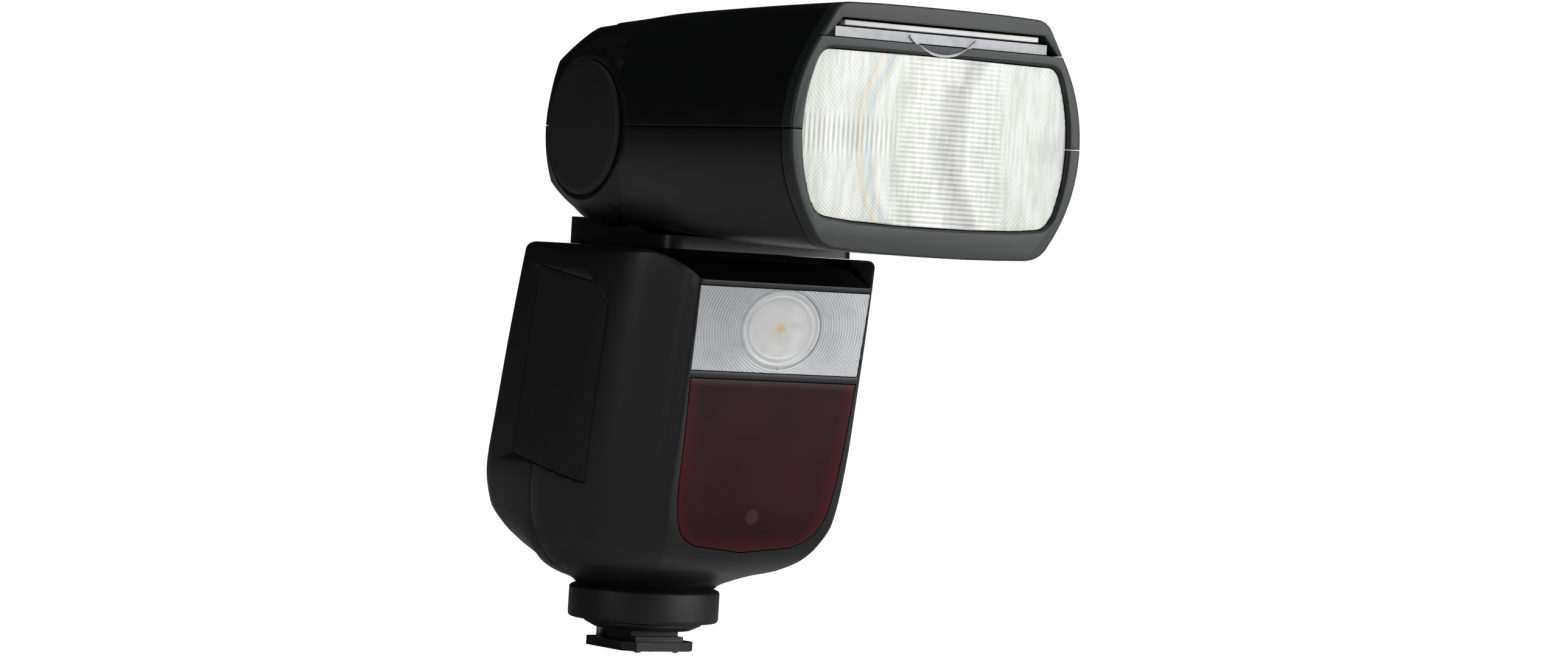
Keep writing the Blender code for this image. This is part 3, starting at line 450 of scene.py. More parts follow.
def lens_plastic():
    """The zoom lens: pressed ribs over a bright reflector, greenish white, with the reflector painted into its
    colour as soft upright bands of painted reflection.
    """
    made, tree, shader, place = start("lens_plastic", 0.16, Coat_Weight=0.5, Coat_Roughness=0.06, IOR=1.49)
    x, z = axes(tree, place)
    across = remapped(tree, x, -0.033, 0.033)
    up = remapped(tree, z, 0.0957, 0.1305)
    # the far side of the reflector curves, so the painted reflector bands bow outward at mid-height
    centred = calc(tree, "SUBTRACT", up, 0.5)
    bow = product(tree, product(tree, centred, centred), 0.34)
    wander = product(tree, calc(tree, "SUBTRACT", noise(tree, place, 90.0, 2.0), 0.5), 0.05)
    bowed = calc(tree, "ADD", calc(tree, "SUBTRACT", across, bow), wander)
    # painted reflection: the reflector behind the lens, drawn as upright bands of colour
    white, pale, tint, shade, smoke = ((0.93, 0.94, 0.89), (0.80, 0.82, 0.77), (0.72, 0.74, 0.68),
                                       (0.70, 0.71, 0.68), (0.56, 0.56, 0.56))
    painted_reflector_bands = ramp(tree, bowed, [(0.0, tint), (0.10, white), (0.19, pale), (0.235, shade), (0.27, white),
                               (0.33, tint), (0.40, white), (0.455, white), (0.50, shade), (0.545, smoke),
                               (0.585, shade), (0.61, white), (0.68, pale), (0.76, tint), (0.82, pale),
                               (0.88, tint), (0.95, shade), (1.0, smoke)])
    # a faint painted spectrum: painted refraction where the reflector's edge is refracted
    edge = remapped(tree, bowed, 0.185, 0.245)
    painted_spectrum = ramp(tree, edge, [(0.0, grey(0.0)), (0.2, (0.9, 0.72, 0.5)), (0.45, (0.86, 0.86, 0.66)),
                                 (0.65, (0.62, 0.8, 0.8)), (0.85, (0.66, 0.72, 0.92)), (1.0, grey(0.0))])
    glow = ramp(tree, edge, [(0.0, grey(0.0)), (0.3, grey(0.55)), (0.7, grey(0.55)), (1.0, grey(0.0))])
    tone = mix(tree, glow, painted_reflector_bands, painted_spectrum)
    # the card in the drawer, painted in as a brighter patch high in the middle: painted light seen through the
    # lens
    patch_x = ramp(tree, across, [(0.35, grey(0.0)), (0.37, grey(1.0)), (0.58, grey(1.0)), (0.60, grey(0.0))])
    patch_z = ramp(tree, up, [(0.83, grey(0.0)), (0.86, grey(1.0))])
    painted_card_patch = product(tree, product(tree, patch_x, patch_z), 0.6)
    tone = mix(tree, painted_card_patch, tone, (0.95, 0.95, 0.91, 1.0))
    mottle = noise(tree, stretched(tree, place, (2.2, 1.0, 0.35)), 420.0)
    veil = ramp(tree, mottle, [(0.38, (0.84, 0.85, 0.83)), (0.6, grey(1.0))])
    colour(tree, shader, mix(tree, 1.0, tone, veil, "MULTIPLY"))
    bump(tree, shader, noise(tree, place, 1500.0, 2.0), 0.00002)
    return made


def lamp_plastic():
    """The lamp window: silver grey rings round a bright bowl with a warm chip at its centre."""
    made, tree, shader, place = start("lamp_plastic", 0.2, Coat_Weight=0.6, Coat_Roughness=0.05, IOR=1.49)
    x, z = axes(tree, place)
    u = calc(tree, "DIVIDE", x, RINGS_X * MM)
    v = calc(tree, "DIVIDE", calc(tree, "SUBTRACT", z, RING_Z * MM), RINGS_Z * MM)
    reach = product(tree, distance(tree, u, v), 0.4)
    tone = ramp(tree, reach, [
        (0.0, (0.90, 0.68, 0.42)), (0.03, (0.90, 0.74, 0.52)), (0.07, (0.92, 0.90, 0.86)),
        (0.2, (0.97, 0.97, 0.96)), (0.30, grey(0.93)), (0.345, (0.80, 0.81, 0.82)), (0.38, grey(0.93)),
        (0.42, (0.74, 0.76, 0.78)), (0.6, (0.72, 0.74, 0.76)), (1.0, (0.76, 0.78, 0.80))])
    swirl = noise(tree, stretched(tree, place, (1.0, 1.0, 1.4)), 190.0, 1.0)
    cloud = ramp(tree, swirl, [(0.36, (0.92, 0.92, 0.93)), (0.52, grey(1.0))])
    colour(tree, shader, mix(tree, 1.0, tone, cloud, "MULTIPLY"))
    bump(tree, shader, noise(tree, place, 2200.0, 2.0), 0.000006)
    return made


def sensor_plastic():
    """The maroon window: dark in the middle, redder where light leaks in along its edges."""
    made, tree, shader, place = start("sensor_plastic", 0.34, Specular_IOR_Level=0.22, IOR=1.45)
    x, z = axes(tree, place)
    low, high, widest = RED_OUTLINE[-1][1], RED_OUTLINE[0][1], RED_OUTLINE[0][0]
    height = remapped(tree, z, low * MM, high * MM)
    stops = [((level - low) / (high - low), grey(half / widest)) for half, level in reversed(RED_OUTLINE)]
    half_width = product(tree, ramp(tree, height, stops), widest * MM)
    inward = calc(tree, "SUBTRACT", half_width, calc(tree, "ABSOLUTE", x))
    sides = ramp(tree, remapped(tree, inward, 0.0, 0.0035),
                 [(0.0, grey(1.0)), (0.3, grey(0.55)), (1.0, grey(0.0))])
    foot = ramp(tree, remapped(tree, z, low * MM, 0.0285),
                [(0.0, grey(1.0)), (0.4, grey(0.5)), (1.0, grey(0.0))])
    rim = calc(tree, "MAXIMUM", sides, foot)
    veil = noise(tree, place, 70.0, 3.0)
    middle = ramp(tree, veil, [(0.35, (0.026, 0.0052, 0.0072)), (0.65, (0.036, 0.0072, 0.0098))])
    tone = mix(tree, product(tree, rim, 0.6), middle, (0.11, 0.009, 0.019, 1.0))
    away = distance(tree, x, calc(tree, "SUBTRACT", z, SENSOR_Z * MM))
    spot = ramp(tree, calc(tree, "DIVIDE", away, 0.002), [(0.76, grey(0.75)), (0.84, grey(0.0))])
    colour(tree, shader, mix(tree, spot, tone, (0.075, 0.028, 0.034, 1.0)))
    bump(tree, shader, noise(tree, place, 900.0, 2.0), 0.000002)
    return made


def clear_plastic(name, base):
    made, tree, shader, place = start(name, 0.12, Transmission_Weight=0.45, IOR=1.49, Coat_Weight=0.4)
    patches = noise(tree, place, 260.0)
    colour(tree, shader, ramp(tree, patches, [(0.35, tuple(c * 0.75 for c in base)), (0.65, base)]))
    bump(tree, shader, patches, 0.00002)
    return made


def printed_board():
    made, tree, shader, place = start("printed_board", 0.4)
    cells = add(tree, "TexBrick", {"Vector": place, "Scale": 240.0, "Color1": (0.015, 0.11, 0.05, 1),
                                   "Color2": (0.02, 0.16, 0.07, 1), "Mortar": (0.16, 0.3, 0.12, 1)}).outputs[0]
    colour(tree, shader, cells)
    bump(tree, shader, noise(tree, place, 800.0), 0.00002)
    return made


MATERIALS = {
    "shell_black": plastic("shell_plastic", (0.0052, 0.0056, 0.0066), 0.36, edge=0.2),
    "bezel_black": plastic("bezel_plastic", (0.022, 0.0235, 0.0245), 0.46, grain=3200.0, depth=0.00001),
    "matte_black": plastic("matte_plastic", (0.0075, 0.0078, 0.0085), 0.48, grain=2200.0, depth=0.00002),
    "cap_black": plastic("cap_plastic", (0.016, 0.017, 0.0195), 0.58, grain=2400.0, depth=0.00002),
    "rubber_black": plastic("rubber", (0.006, 0.0062, 0.007), 0.6, grain=1500.0, depth=0.00003),
    "grey_plastic": plastic("grey_plastic", (0.10, 0.105, 0.11), 0.42),
    "button_grey": plastic("button_plastic", (0.055, 0.057, 0.06), 0.5),
    "button_red": plastic("button_red_plastic", (0.32, 0.02, 0.02), 0.3, depth=0.000004),
    "mark_white": plastic("mark_paint", (0.62, 0.63, 0.64), 0.5, depth=0.000004),
    "white_card": plastic("card_plastic", (0.86, 0.86, 0.85), 0.45, depth=0.000008, edge=0.0),
    "led_yellow": plastic("phosphor", (0.75, 0.5, 0.12), 0.5, depth=0.00001),
    "clear_lens": clear_plastic("panel_plastic", (0.80, 0.82, 0.86)),
    "screen_glass": plastic("screen_plastic", (0.012, 0.014, 0.016), 0.08, depth=0.000001, edge=0.0,
                            Coat_Weight=1.0, Coat_Roughness=0.03),
    "tube_glass": clear_plastic("tube_glass", (0.85, 0.88, 0.9)),
    "lens": lens_plastic(),
    "lamp": lamp_plastic(),
    "red_window": sensor_plastic(),
    "bright_reflector": metal("reflector_metal", (0.9, 0.9, 0.91), 0.14),
    "steel": metal("steel_metal", (0.62, 0.63, 0.64), 0.28),
    "contact_gold": metal("contact_metal", (0.80, 0.46, 0.24), 0.3),
    "board_green": printed_board(),
}


def finish(obj, body, slot, nodes=(), looks=None):
    """Gives a piece its material and its body, and hides the CAD nodes that it stands for; the slot names the
    material unless looks does.
    """
    obj.data.materials.clear()
    obj.data.materials.append(MATERIALS[looks or slot])
    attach(obj, body)
    if nodes:
        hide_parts(*([nodes] if isinstance(nodes, str) else nodes))
    return obj


# ---------------------------------------------------------------- body

def body_section(height, inset=0.0):
    """The body's outline at a height: a flat front, narrow facets, flanks that sweep back, a squarer rear."""
    width, front, rear, rear_round, front_round = eased(BODY_LEVELS, height)
    width -= inset
    front += inset
    rear -= inset
    k, d = width / 35.0, (rear - front) / 61.0
    facet, flank = Vector((21.9 * k, front)), Vector((23.7 * k, front + 3.5 * d))
    sweep = Vector((28.6 * k, front + 10.1 * d))
    pull = Vector((32.9 * k, front + 15.8 * d))
    end = Vector((33.9 * k, front + 24.0 * d))
    half = [(3.0 * k, front), (9.0 * k, front), (15.0 * k, front), (20.0 * k, front)]
    for corner, before, after, reach in ((facet, Vector((15.0 * k, front)), flank, 0.7),
                                         (flank, facet, sweep, 1.3)):
        first = corner + (before - corner).normalized() * reach
        last = corner + (after - corner).normalized() * reach
        half += bend(first, corner, last, shares(4))
    half += bend(sweep, pull, end, shares(12))
    side = Vector((width, front + 42.0 * d))
    for i in range(1, 5):
        t = i / 4
        half.append((end.x + (side.x - end.x) * math.sin(t * TURN / 4), end.y + (side.y - end.y) * t))
    corner = 7.0 * k
    half += arc((width - corner, rear - corner), corner, 0, 90, 8)
    half += [((width - corner) * share, rear) for share in (0.75, 0.5, 0.25)]
    result = []
    for x, y in mirrored(half):
        reach = rear if y > 0 else -front
        angle = math.atan2(y / reach, x / width)
        share = rear_round if y > 0 else front_round
        oval = (width * math.cos(angle), reach * math.sin(angle))
        result.append((x + (oval[0] - x) * share, y + (oval[1] - y) * share, height))
    return result


def body_outer(name):
    levels = spread(14.0, 24.0, 0.5) + spread(25.0, 40.0, 1.0) + spread(43.0, BODY_TOP - 1.6, 3.5)
    sections = [body_section(z) for z in levels]
    for i in range(1, 6):
        angle = TURN / 4 * i / 5
        z = BODY_TOP - 1.6 + 1.6 * math.sin(angle)
        sections.append([(x, y, z) for x, y, _ in body_section(z, 1.6 * (1 - math.cos(angle)))])
    return loft(name, sections, 28)


def body_inner(name, inset):
    return loft(name, [body_section(z, inset) for z in spread(20.0, BODY_TOP, 3.0)])


def front_y(height):
    return float(eased(BODY_LEVELS, height)[1])


def rear_y(height):
    return REAR_AT_39 - (height - 39.0) * REAR_LEAN


REAR_TILT = math.atan(REAR_LEAN)
REAR_TURN = Matrix.Rotation(REAR_TILT - TURN / 4, 3, "X")


def on_rear(obj, x, height):
    """Moves a mesh made on the XY plane, +Z outward, onto the sloping rear face."""
    place = Vector((x, rear_y(height), height)) * MM
    obj.data.transform(Matrix.Translation(place) @ REAR_TURN.to_4x4())
    return obj


def split_half(name, forward):
    reach = -90.0 if forward else 60.0
    shift = -GAP / 2 if forward else GAP / 2
    low, high = 0.0, 110.0
    near = [(SPLIT_Y - (z - 30.0) * SPLIT_LEAN + shift, z) for z in (low, high)]
    return prism(name, near + [(reach, high), (reach, low)], "X", -60.0, 60.0)


PORT_OUTLINE = [(-30.9, 75.5), (-25.9, 80.5), (-5.6, 83.4), (0.9, 42.3), (-24.9, 37.6)]
BATTERY_OUTLINE = [(-29.5, 79.0), (-3.6, 80.0), (1.4, 39.5), (-24.0, 37.5)]
BUTTONS = (
    # name, x, height, half width, half height
    ("function_button_1", -17.4, 56.2, 4.4, 1.7),
    ("function_button_2", -5.8, 56.2, 4.4, 1.7),
    ("function_button_3", 5.8, 56.2, 4.4, 1.7),
    ("function_button_4", 17.4, 56.2, 4.4, 1.7),
    ("mode_button", -20.4, 48.0, 4.6, 2.4),
    ("sync_button", 20.4, 48.0, 4.6, 2.4),
)
DIAL_Z, DIAL_R, DIAL_HOLE = 44.5, 9.4, 4.6
TEST_X, TEST_Z = -20.4, 40.2
SWITCH_X, SWITCH_Z, SWITCH_TRAVEL = 18.2, 40.2, 4.6
SCREEN_Z = 72.0


def led_outline(grow=0.0):
    half = [(0.0, LED_BOTTOM), (LED_HALF_BOTTOM, LED_BOTTOM), (LED_HALF_TOP, LED_TOP), (0.0, LED_TOP)]
    return grown(mirrored(half), grow)


def red_outline(grow=0.0):
    half = [(0.0, RED_TOP)]
    for z in reversed(spread(RED_OUTLINE[-1][1] + 0.02, RED_TOP, 1.2)):
        table = [(level, width) for width, level in reversed(RED_OUTLINE)]
        half.append((float(eased(table, z)[0]), z))
    return grown(mirrored(half), grow)


def capsule(half_x, half_y, radius):
    return rectangle(-half_x, half_x, -half_y, half_y, radius)


def shoulder_cutter(name, half, dip):
    """What is taken off the top at the front: the top rolls down to the upper window."""
    curve = [(-36.5 - 13.7 * t, BODY_TOP - dip - (ROLL_DROP - dip) * t * t) for t in shares(20)]
    above = BODY_TOP + 5.0
    outline = [(-36.3 + dip * 2, above)] + curve + [(-60.0, curve[-1][1] - 0.5), (-60.0, above)]
    return prism(name, outline, "X", -half, half)


def body_shells():
    post_hole = rod("cut_post_hole", (0, 0, 10), (0, 0, 30), 7.95)
    swivel_hole = rod("cut_swivel_hole", (0, PIVOT_Y, 80), (0, PIVOT_Y, 95), 13.1, 96)
    port_hole = prism("cut_port_hole", rounded(grown(PORT_OUTLINE, GAP), 1.0), "X", -40, -27)
    battery_hole = prism("cut_battery_hole", rounded(grown(BATTERY_OUTLINE, GAP), 1.0), "X", 20, 40)
    cavity = loft("cut_cavity", [[(x, y, z) for x, y, _ in body_section(source, WALL)]
                                 for z, source in CAVITY_LEVELS])
    keep(cavity, prism("keep_under_roll", UNDER_ROLL, "X", -60, 60))
    front = keep(body_outer("front_casing"), split_half("keep_front", True))
    cut(front, cavity, shoulder_cutter("cut_top_roll", 60.0, 0.02), shoulder_cutter("cut_scoop", 21.3, 1.4),
        post_hole, swivel_hole, prism("cut_led_hole", led_outline(GAP), "Y", -60, -30),
        prism("cut_red_hole", red_outline(GAP), "Y", -60, -30), port_hole, battery_hole,
        box("cut_latch_hole", (20, -17.4, 27.7), (40, -8.6, 33.1)))
    rear = keep(body_outer("rear_casing"), split_half("keep_rear", False))
    holes = []
    for name, x, height, half_x, half_y in BUTTONS:
        hole = prism("cut_" + name, capsule(half_x + GAP, half_y + GAP, 1.6), "Z", -8, 8)
        holes.append(on_rear(hole, x, height))
    well = DIAL_R + 0.5
    profile = [(0, 6), (well, 6), (well, -1.0), (3.4, -1.0), (3.4, -8), (0, -8)]
    holes.append(on_rear(turned("cut_dial_seat", profile), 0, DIAL_Z))
    holes.append(on_rear(rod("cut_test", (0, 0, -8), (0, 0, 8), 3.2 + GAP), TEST_X, TEST_Z))
    slot = rectangle(-2.9, 2.9 + SWITCH_TRAVEL, -1.7, 1.7, 1.0)
    holes.append(on_rear(prism("cut_switch", slot, "Z", -8, 8), SWITCH_X, SWITCH_Z))
    holes.append(on_rear(prism("cut_screen", capsule(23.0, 12.4, 2.0), "Z", -8, 8), 0, SCREEN_Z))
    holes.append(on_rear(prism("cut_screen_step", capsule(24.6, 14.0, 2.8), "Z", -0.4, 8), 0, SCREEN_Z))
    cut(rear, cavity, post_hole, swivel_hole, port_hole, battery_hole, *holes)
    for obj, node in ((front, "front_shell"), (rear, "rear_shell")):
        soften(obj, 0.22)
        finish(obj, "housing", "shell_black", node)


def relief_plate(name, heights, half_at, face_at, back_at, smooth):
    """A closed plate: a fine grid whose front lies at face_at(x, z), with its rim run back to back_at(y)."""
    columns = 300
    bm = bmesh.new()
    grid = []
    for z in heights:
        half = half_at(z)
        row = [-half + 2 * half * i / columns for i in range(columns + 1)]
        grid.append([bm.verts.new((x, face_at(x, z), z)) for x in row])
    bridge(bm, grid, closed=False)
    rim = [e for e in bm.edges if e.is_boundary]
    for part in bmesh.ops.extrude_edge_only(bm, edges=rim)["geom"]:
        if isinstance(part, bmesh.types.BMVert):
            part.co.y = back_at(part.co.y)
    bmesh.ops.contextual_create(bm, geom=[e for e in bm.edges if e.is_boundary])
    return make(name, bm, smooth)


def lamp_relief(x, z):
    """Height of the lamp window's face: fine rings outside, one bold ring, a shallow bowl inside."""
    r = math.hypot(x / RINGS_X, (z - RING_Z) / RINGS_Z)
    if r > 1.08:
        return 0.07 * math.cos((r - 1.08) * RINGS_X * TURN / 0.7) - 0.07
    bold = 0.26 * math.exp(-((r - 1.0) / 0.05) ** 2)
    inner = 0.12 * math.exp(-((r - 0.84) / 0.06) ** 2)
    return bold + inner - 0.1 + 0.25 * max(0.0, 0.8 - r) ** 0.8 - 0.25


def windows():
    def half(z):
        return LED_HALF_BOTTOM + (LED_HALF_TOP - LED_HALF_BOTTOM) * (z - LED_BOTTOM) / (LED_TOP - LED_BOTTOM)
    lamp = relief_plate("lamp_window", spread(LED_BOTTOM, LED_TOP, 0.14), half,
                        lambda x, z: front_y(z) - lamp_relief(x, z), lambda y: y + 1.6, 50)
    finish(lamp, "housing", "clear_lens", "led_window", "lamp")
    red = prism("maroon_window", red_outline(), "Y", -60, -30)
    keep(red, body_outer("keep_red"))
    cut(red, body_inner("cut_red_back", 2.0))
    soften(red, 0.15)
    finish(red, "housing", "red_window", "sensor_window")


def side_covers():
    cover = prism("socket_cover", rounded(PORT_OUTLINE, 1.0), "X", -40, -20)
    keep(cover, body_outer("keep_cover"))
    cut(cover, body_inner("cut_cover", WALL))
    # a finger notch at the cover's front edge
    cut(cover, turned("cut_cover_notch", [(0, 3.0), (3.2, 2.2), (3.9, 0.0), (0, 0.0)], (-36.6, -27.6, 60.0),
                      Matrix.Rotation(TURN / 4, 3, "Y"), 48))
    soften(cover, 0.3)
    finish(cover, "port_cover", "rubber_black", "port_cover")

    battery = prism("battery_block", rounded(BATTERY_OUTLINE, 1.0), "X", 12.2, 40)
    keep(battery, body_outer("keep_battery"))
    cut(battery, box("cut_latch_notch", (10.0, -15.4, 33.0), (30.4, -10.6, 40.4)))
    grooves = []
    for i in range(6):
        z = 46.0 + 5.4 * i
        y = -13.6 - (z - 58.0) * 0.13
        grooves.append(box(f"cut_grip_{i}", (34.75, y - 8.5, z), (41.0, y + 8.5, z + 1.5), 0.4))
    cut(battery, *grooves)
    soften(battery, 0.3)
    finish(battery, "battery", "shell_black", "battery_pack")


def rear_controls():
    marks = []
    for name, x, height, half_x, half_y in BUTTONS:
        outline, crown = capsule(half_x, half_y, 1.3), capsule(half_x - 0.35, half_y - 0.35, 1.0)
        top = capsule(half_x - 0.9, half_y - 0.9, 0.6)
        steps = ((outline, -3.6), (outline, 0.75), (crown, 1.05), (top, 1.2))
        button = loft(name + "_key", [[(a, b, level) for a, b in ring] for ring, level in steps])
        on_rear(button, x, height)
        finish(button, name, "rubber_black", name)
        if name.startswith("function"):
            marks.append(on_rear(box("mark_" + name, (-1.4, 2.75, -0.03), (1.4, 3.0, 0.03)), x, height))
        else:
            profile = [(0.45, 0.03), (0.45, -0.03), (0.3, -0.03), (0.3, 0.03)]
            marks.append(on_rear(turned("mark_" + name, profile, (0, 3.4, 0), None, 24), x, height))
    for mark in marks:
        finish(mark, "housing", "white_card", looks="mark_white")

    knurls = 44
    bm = bmesh.new()
    rings = []
    profile = [(DIAL_HOLE + 0.3, 2.9, 0), (DIAL_R - 1.1, 3.0, 0), (DIAL_R - 0.55, 2.75, 0),
               (DIAL_R - 0.15, 2.35, 1), (DIAL_R, 1.9, 1), (DIAL_R, -0.6, 1), (DIAL_HOLE, -0.6, 0),
               (DIAL_HOLE, 2.6, 0)]
    sides = knurls * 6
    for radius, height, ribbed in profile:
        ring = []
        for i in range(sides):
            angle = TURN * i / sides
            r = radius - (0.28 * (0.5 + 0.5 * math.cos(angle * knurls)) if ribbed else 0.0)
            ring.append(bm.verts.new((r * math.cos(angle), r * math.sin(angle), height)))
        rings.append(ring)
    bridge(bm, rings + rings[:1])
    dial = on_rear(make("knurled_dial", bm, 40), 0, DIAL_Z)
    finish(dial, "control_dial", "grey_plastic", "control_dial", "button_grey")
    profile = [(0, 3.2), (2.2, 3.25), (3.3, 3.4), (3.7, 3.3), (4.0, 3.0), (4.1, 2.6), (4.1, 0.6), (2.9, 0.6),
               (2.9, -4.6), (0, -4.6)]
    button = on_rear(turned("centre_button", profile), 0, DIAL_Z)
    finish(button, "set_button", "rubber_black", "set_button")
    profile = [(0, 1.15), (1.6, 1.08), (2.5, 0.9), (3.0, 0.6), (3.2, 0.2), (3.2, -3.6), (0, -3.6)]
    test = on_rear(turned("pilot_button", profile), TEST_X, TEST_Z)
    finish(test, "test_button", "rubber_black", "test_button", "button_red")

    switch = prism("slide_switch", capsule(2.5, 1.35, 0.7), "Z", -3.4, 1.6)
    ribs = [box(f"cut_rib_{i}", (-1.75 + 0.9 * i, -2, 1.3), (-1.35 + 0.9 * i, 2, 2.0)) for i in range(5)]
    cut(switch, *ribs)
    finish(soften(on_rear(switch, SWITCH_X, SWITCH_Z), 0.12), "power_switch", "grey_plastic", "power_switch")

    window = on_rear(prism("display_window", capsule(22.65, 12.05, 1.7), "Z", -1.7, -0.1), 0, SCREEN_Z)
    finish(soften(window, 0.15), "housing", "screen_glass", "screen_window")


def revolve_about_pivot(name, profile, sign, sides=128):
    """A (radius, |x|) profile turned about the tilt axis on one side of the head."""
    lean = Matrix.Rotation(sign * TURN / 4, 3, "Y")
    return turned(name, profile, (0, PIVOT_Y, PIVOT_Z), lean, sides)


def foot_and_collar():
    edge, floor = 0.8, 8.3
    profile = [(14.2, 13.95), (15.4, 13.95), (15.7, 13.65)]
    profile += arc((15.9, 12.8), edge, 90, 0, 5)[1:] + arc((15.9, 7.2), edge, 0, -90, 5)
    profile += [(8.0, 6.4), (8.0, floor), (14.2, floor), (14.2, 13.4)]
    ring = turned("lock_ring", profile, sides=128)
    outline = arc((0, 0), 30, 40, 144, 24) + arc((0, 0), 12, 144, 40, 24)
    cut(ring, prism("cut_lever_slot", outline, "Z", 9.1, 12.3))
    cut(ring, rod("cut_ring_pin", (*LOCK_PIN_AT, 0), (*LOCK_PIN_AT, 9.0), 1.3, 48))
    finish(soften(ring, 0.12), "housing", "matte_black", "collar")

    lever = turned("lever_ring", [(13.9, 12.0), (13.9, 9.4), (8.0, 9.4), (8.0, 12.0)], sides=96)
    join(lever, prism("join_tab", rectangle(12.6, 21.2, -4.2, 4.2, 1.2, 8), "Z", 9.5, 11.9))
    ribs = [17.0 + 1.1 * i for i in range(3)]
    cut(lever, *[box(f"cut_lever_rib_{i}", (x, -5, 11.65), (x + 0.5, 5, 13)) for i, x in enumerate(ribs)])
    lever.data.transform(Matrix.Rotation(math.radians(LEVER_REST), 4, "Z"))
    finish(soften(lever, 0.2), "lock_lever", "matte_black", "lock_lever")

    half, front, rear = 9.3, -9.0, 9.0
    outline = [(-half, front + 2.5), (-half + 2.5, front), (half - 2.5, front), (half, front + 2.5),
               (half, rear - 0.8), (half - 0.8, rear), (-half + 0.8, rear), (-half, rear - 0.8)]
    foot = prism("shoe_plate", outline, "Z", 0.0, 2.0)
    profile = [(0, 18.0), (7.6, 18.0), (7.6, 6.05), (13.0, 6.05), (13.0, 5.6), (10.8, 4.5), (0, 4.5)]
    join(foot, box("join_step", (-6.2, -7.4, 1.0), (6.2, 6.6, 3.1)),
         box("join_neck", (-6.1, -5.3, 1.1), (6.1, 5.9, 5.2)), turned("join_post", profile, sides=96))
    holes = [rod(f"cut_pin_{i}", (x, y, -1), (x, y, 1.6), r + 0.25, 32) for i, (x, y, r) in enumerate(PINS)]
    for i, (x, y) in enumerate(SCREWS):
        holes.append(rod(f"cut_foot_screw_{i}", (x, y, -1), (x, y, 1.4), 1.15, 32))
    holes.append(rod("cut_lock_pin", (*LOCK_PIN_AT, -1), (*LOCK_PIN_AT, 9), 1.1, 32))
    cut(foot, *holes)
    finish(soften(foot, 0.15), "housing", "matte_black", "foot_plate")
    for i, (x, y, r) in enumerate(PINS, 1):
        profile = [(0, 1.2), (r, 1.2), (r, 0.0), (r * 0.92, -0.22), (r * 0.7, -0.4), (r * 0.35, -0.5),
                   (0, -0.5)]
        pin = turned(f"contact_tip_{i}", profile, (x, y, 0), None, 32)
        finish(pin, f"contact_pin_{i}", "contact_gold", f"contact_pin_{i}")
    for i, (x, y) in enumerate(SCREWS, 1):
        profile = [(0, 1.1), (0.9, 1.1), (0.9, 0.3), (0.75, 0.15), (0, 0.15)]
        screw = turned(f"shoe_screw_{i}", profile, (x, y, 0), None, 32)
        cut(screw, box(f"cut_drive_a{i}", (x - 0.55, y - 0.12, -0.2), (x + 0.55, y + 0.12, 0.55)),
            box(f"cut_drive_b{i}", (x - 0.12, y - 0.55, -0.2), (x + 0.12, y + 0.55, 0.55)))
        finish(screw, "housing", "steel", f"foot_screw_{i}")
    profile = [(0, 8.2), (1.0, 8.2), (1.0, 0.5), (0.85, 0.2), (0.6, 0.1), (0, 0.1)]
    pin = turned("lock_stud", profile, (*LOCK_PIN_AT, 0), None, 48)
    finish(pin, "lock_pin", "steel", "lock_pin")


def tilt_rod(name, half, radius, sides=64):
    return rod(name, (-half, *PIVOT), (half, *PIVOT), radius, sides)


def neck():
    reach = HEAD_REAR_R + 0.5
    saddle = [(60.0, 80.0), (60.0, 130.0), (PIVOT_Y + reach, 130.0)] + arc(PIVOT, reach, 0, -108, 48)
    saddle += [(-33.0, 91.4), (-60.0, 91.4), (-60.0, 80.0)]
    footprint = rectangle(-NECK_HALF, NECK_HALF, NECK_FRONT, NECK_REAR, 4.0, 10)
    base = prism("neck_block", footprint, "Z", 88.58, 94.4)
    keep(base, prism("keep_saddle", saddle, "X", -60, 60))
    half, depth = BARREL_HALF, 12.0
    stem = rectangle(-half, half, PIVOT_Y - depth, PIVOT_Y + depth, 2.0)
    join(base, prism("join_stem", stem, "Z", 90.5, PIVOT_Z),
         tilt_rod("join_barrel", half - 0.01, BARREL_R, 128),
         rod("join_spindle", (0, PIVOT_Y, 82.4), (0, PIVOT_Y, 90.0), 13.0, 96))
    cut(base, rod("cut_spindle", (0, PIVOT_Y, 75), (0, PIVOT_Y, 104), 7.5), tilt_rod("cut_axle", 30, 5.1))
    finish(soften(base, 0.5, 3), "turret", "shell_black", "neck")


# ---------------------------------------------------------------- head

def head_outline(shrink_x=1.0, shrink_top=1.0, shrink_bottom=1.0, inset=0.0):
    """The head seen from the front: straight top, barrel sides, gently bowed bottom."""
    middle = HEAD_HALF - SIDE_R
    side = arc((middle, SEAM_Z), SIDE_R, -36.0, 32.8, 28)
    corner_low, corner_high = (27.6, 90.3), (26.1, 139.95)
    low = curve_corner((17.0, 89.85), corner_low, side[0], 4.0, 8)
    high = curve_corner(side[-1], corner_high, (16.0, 140.3), 2.6, 8)
    result = []
    for x, z in mirrored([(3.0, 89.6), (9.0, 89.65), (17.0, 89.85)] + low + side + high
                         + [(16.0, 140.3), (9.0, 140.38), (3.0, 140.4)]):
        scale = shrink_top if z > SEAM_Z else shrink_bottom
        x, dz = x * shrink_x, (z - SEAM_Z) * scale
        height = HEAD_ABOVE if dz > 0 else HEAD_BELOW
        result.append((x - inset * x / HEAD_HALF, SEAM_Z + dz - inset * dz / height))
    return result


def curve_corner(before, corner, after, reach, steps):
    """Points of a smooth bend round a corner."""
    here = Vector(corner)
    first = here + (Vector(before) - here).normalized() * reach
    last = here + (Vector(after) - here).normalized() * min(reach, (Vector(after) - here).length * 0.9)
    return bend(first, here, last, shares(steps))


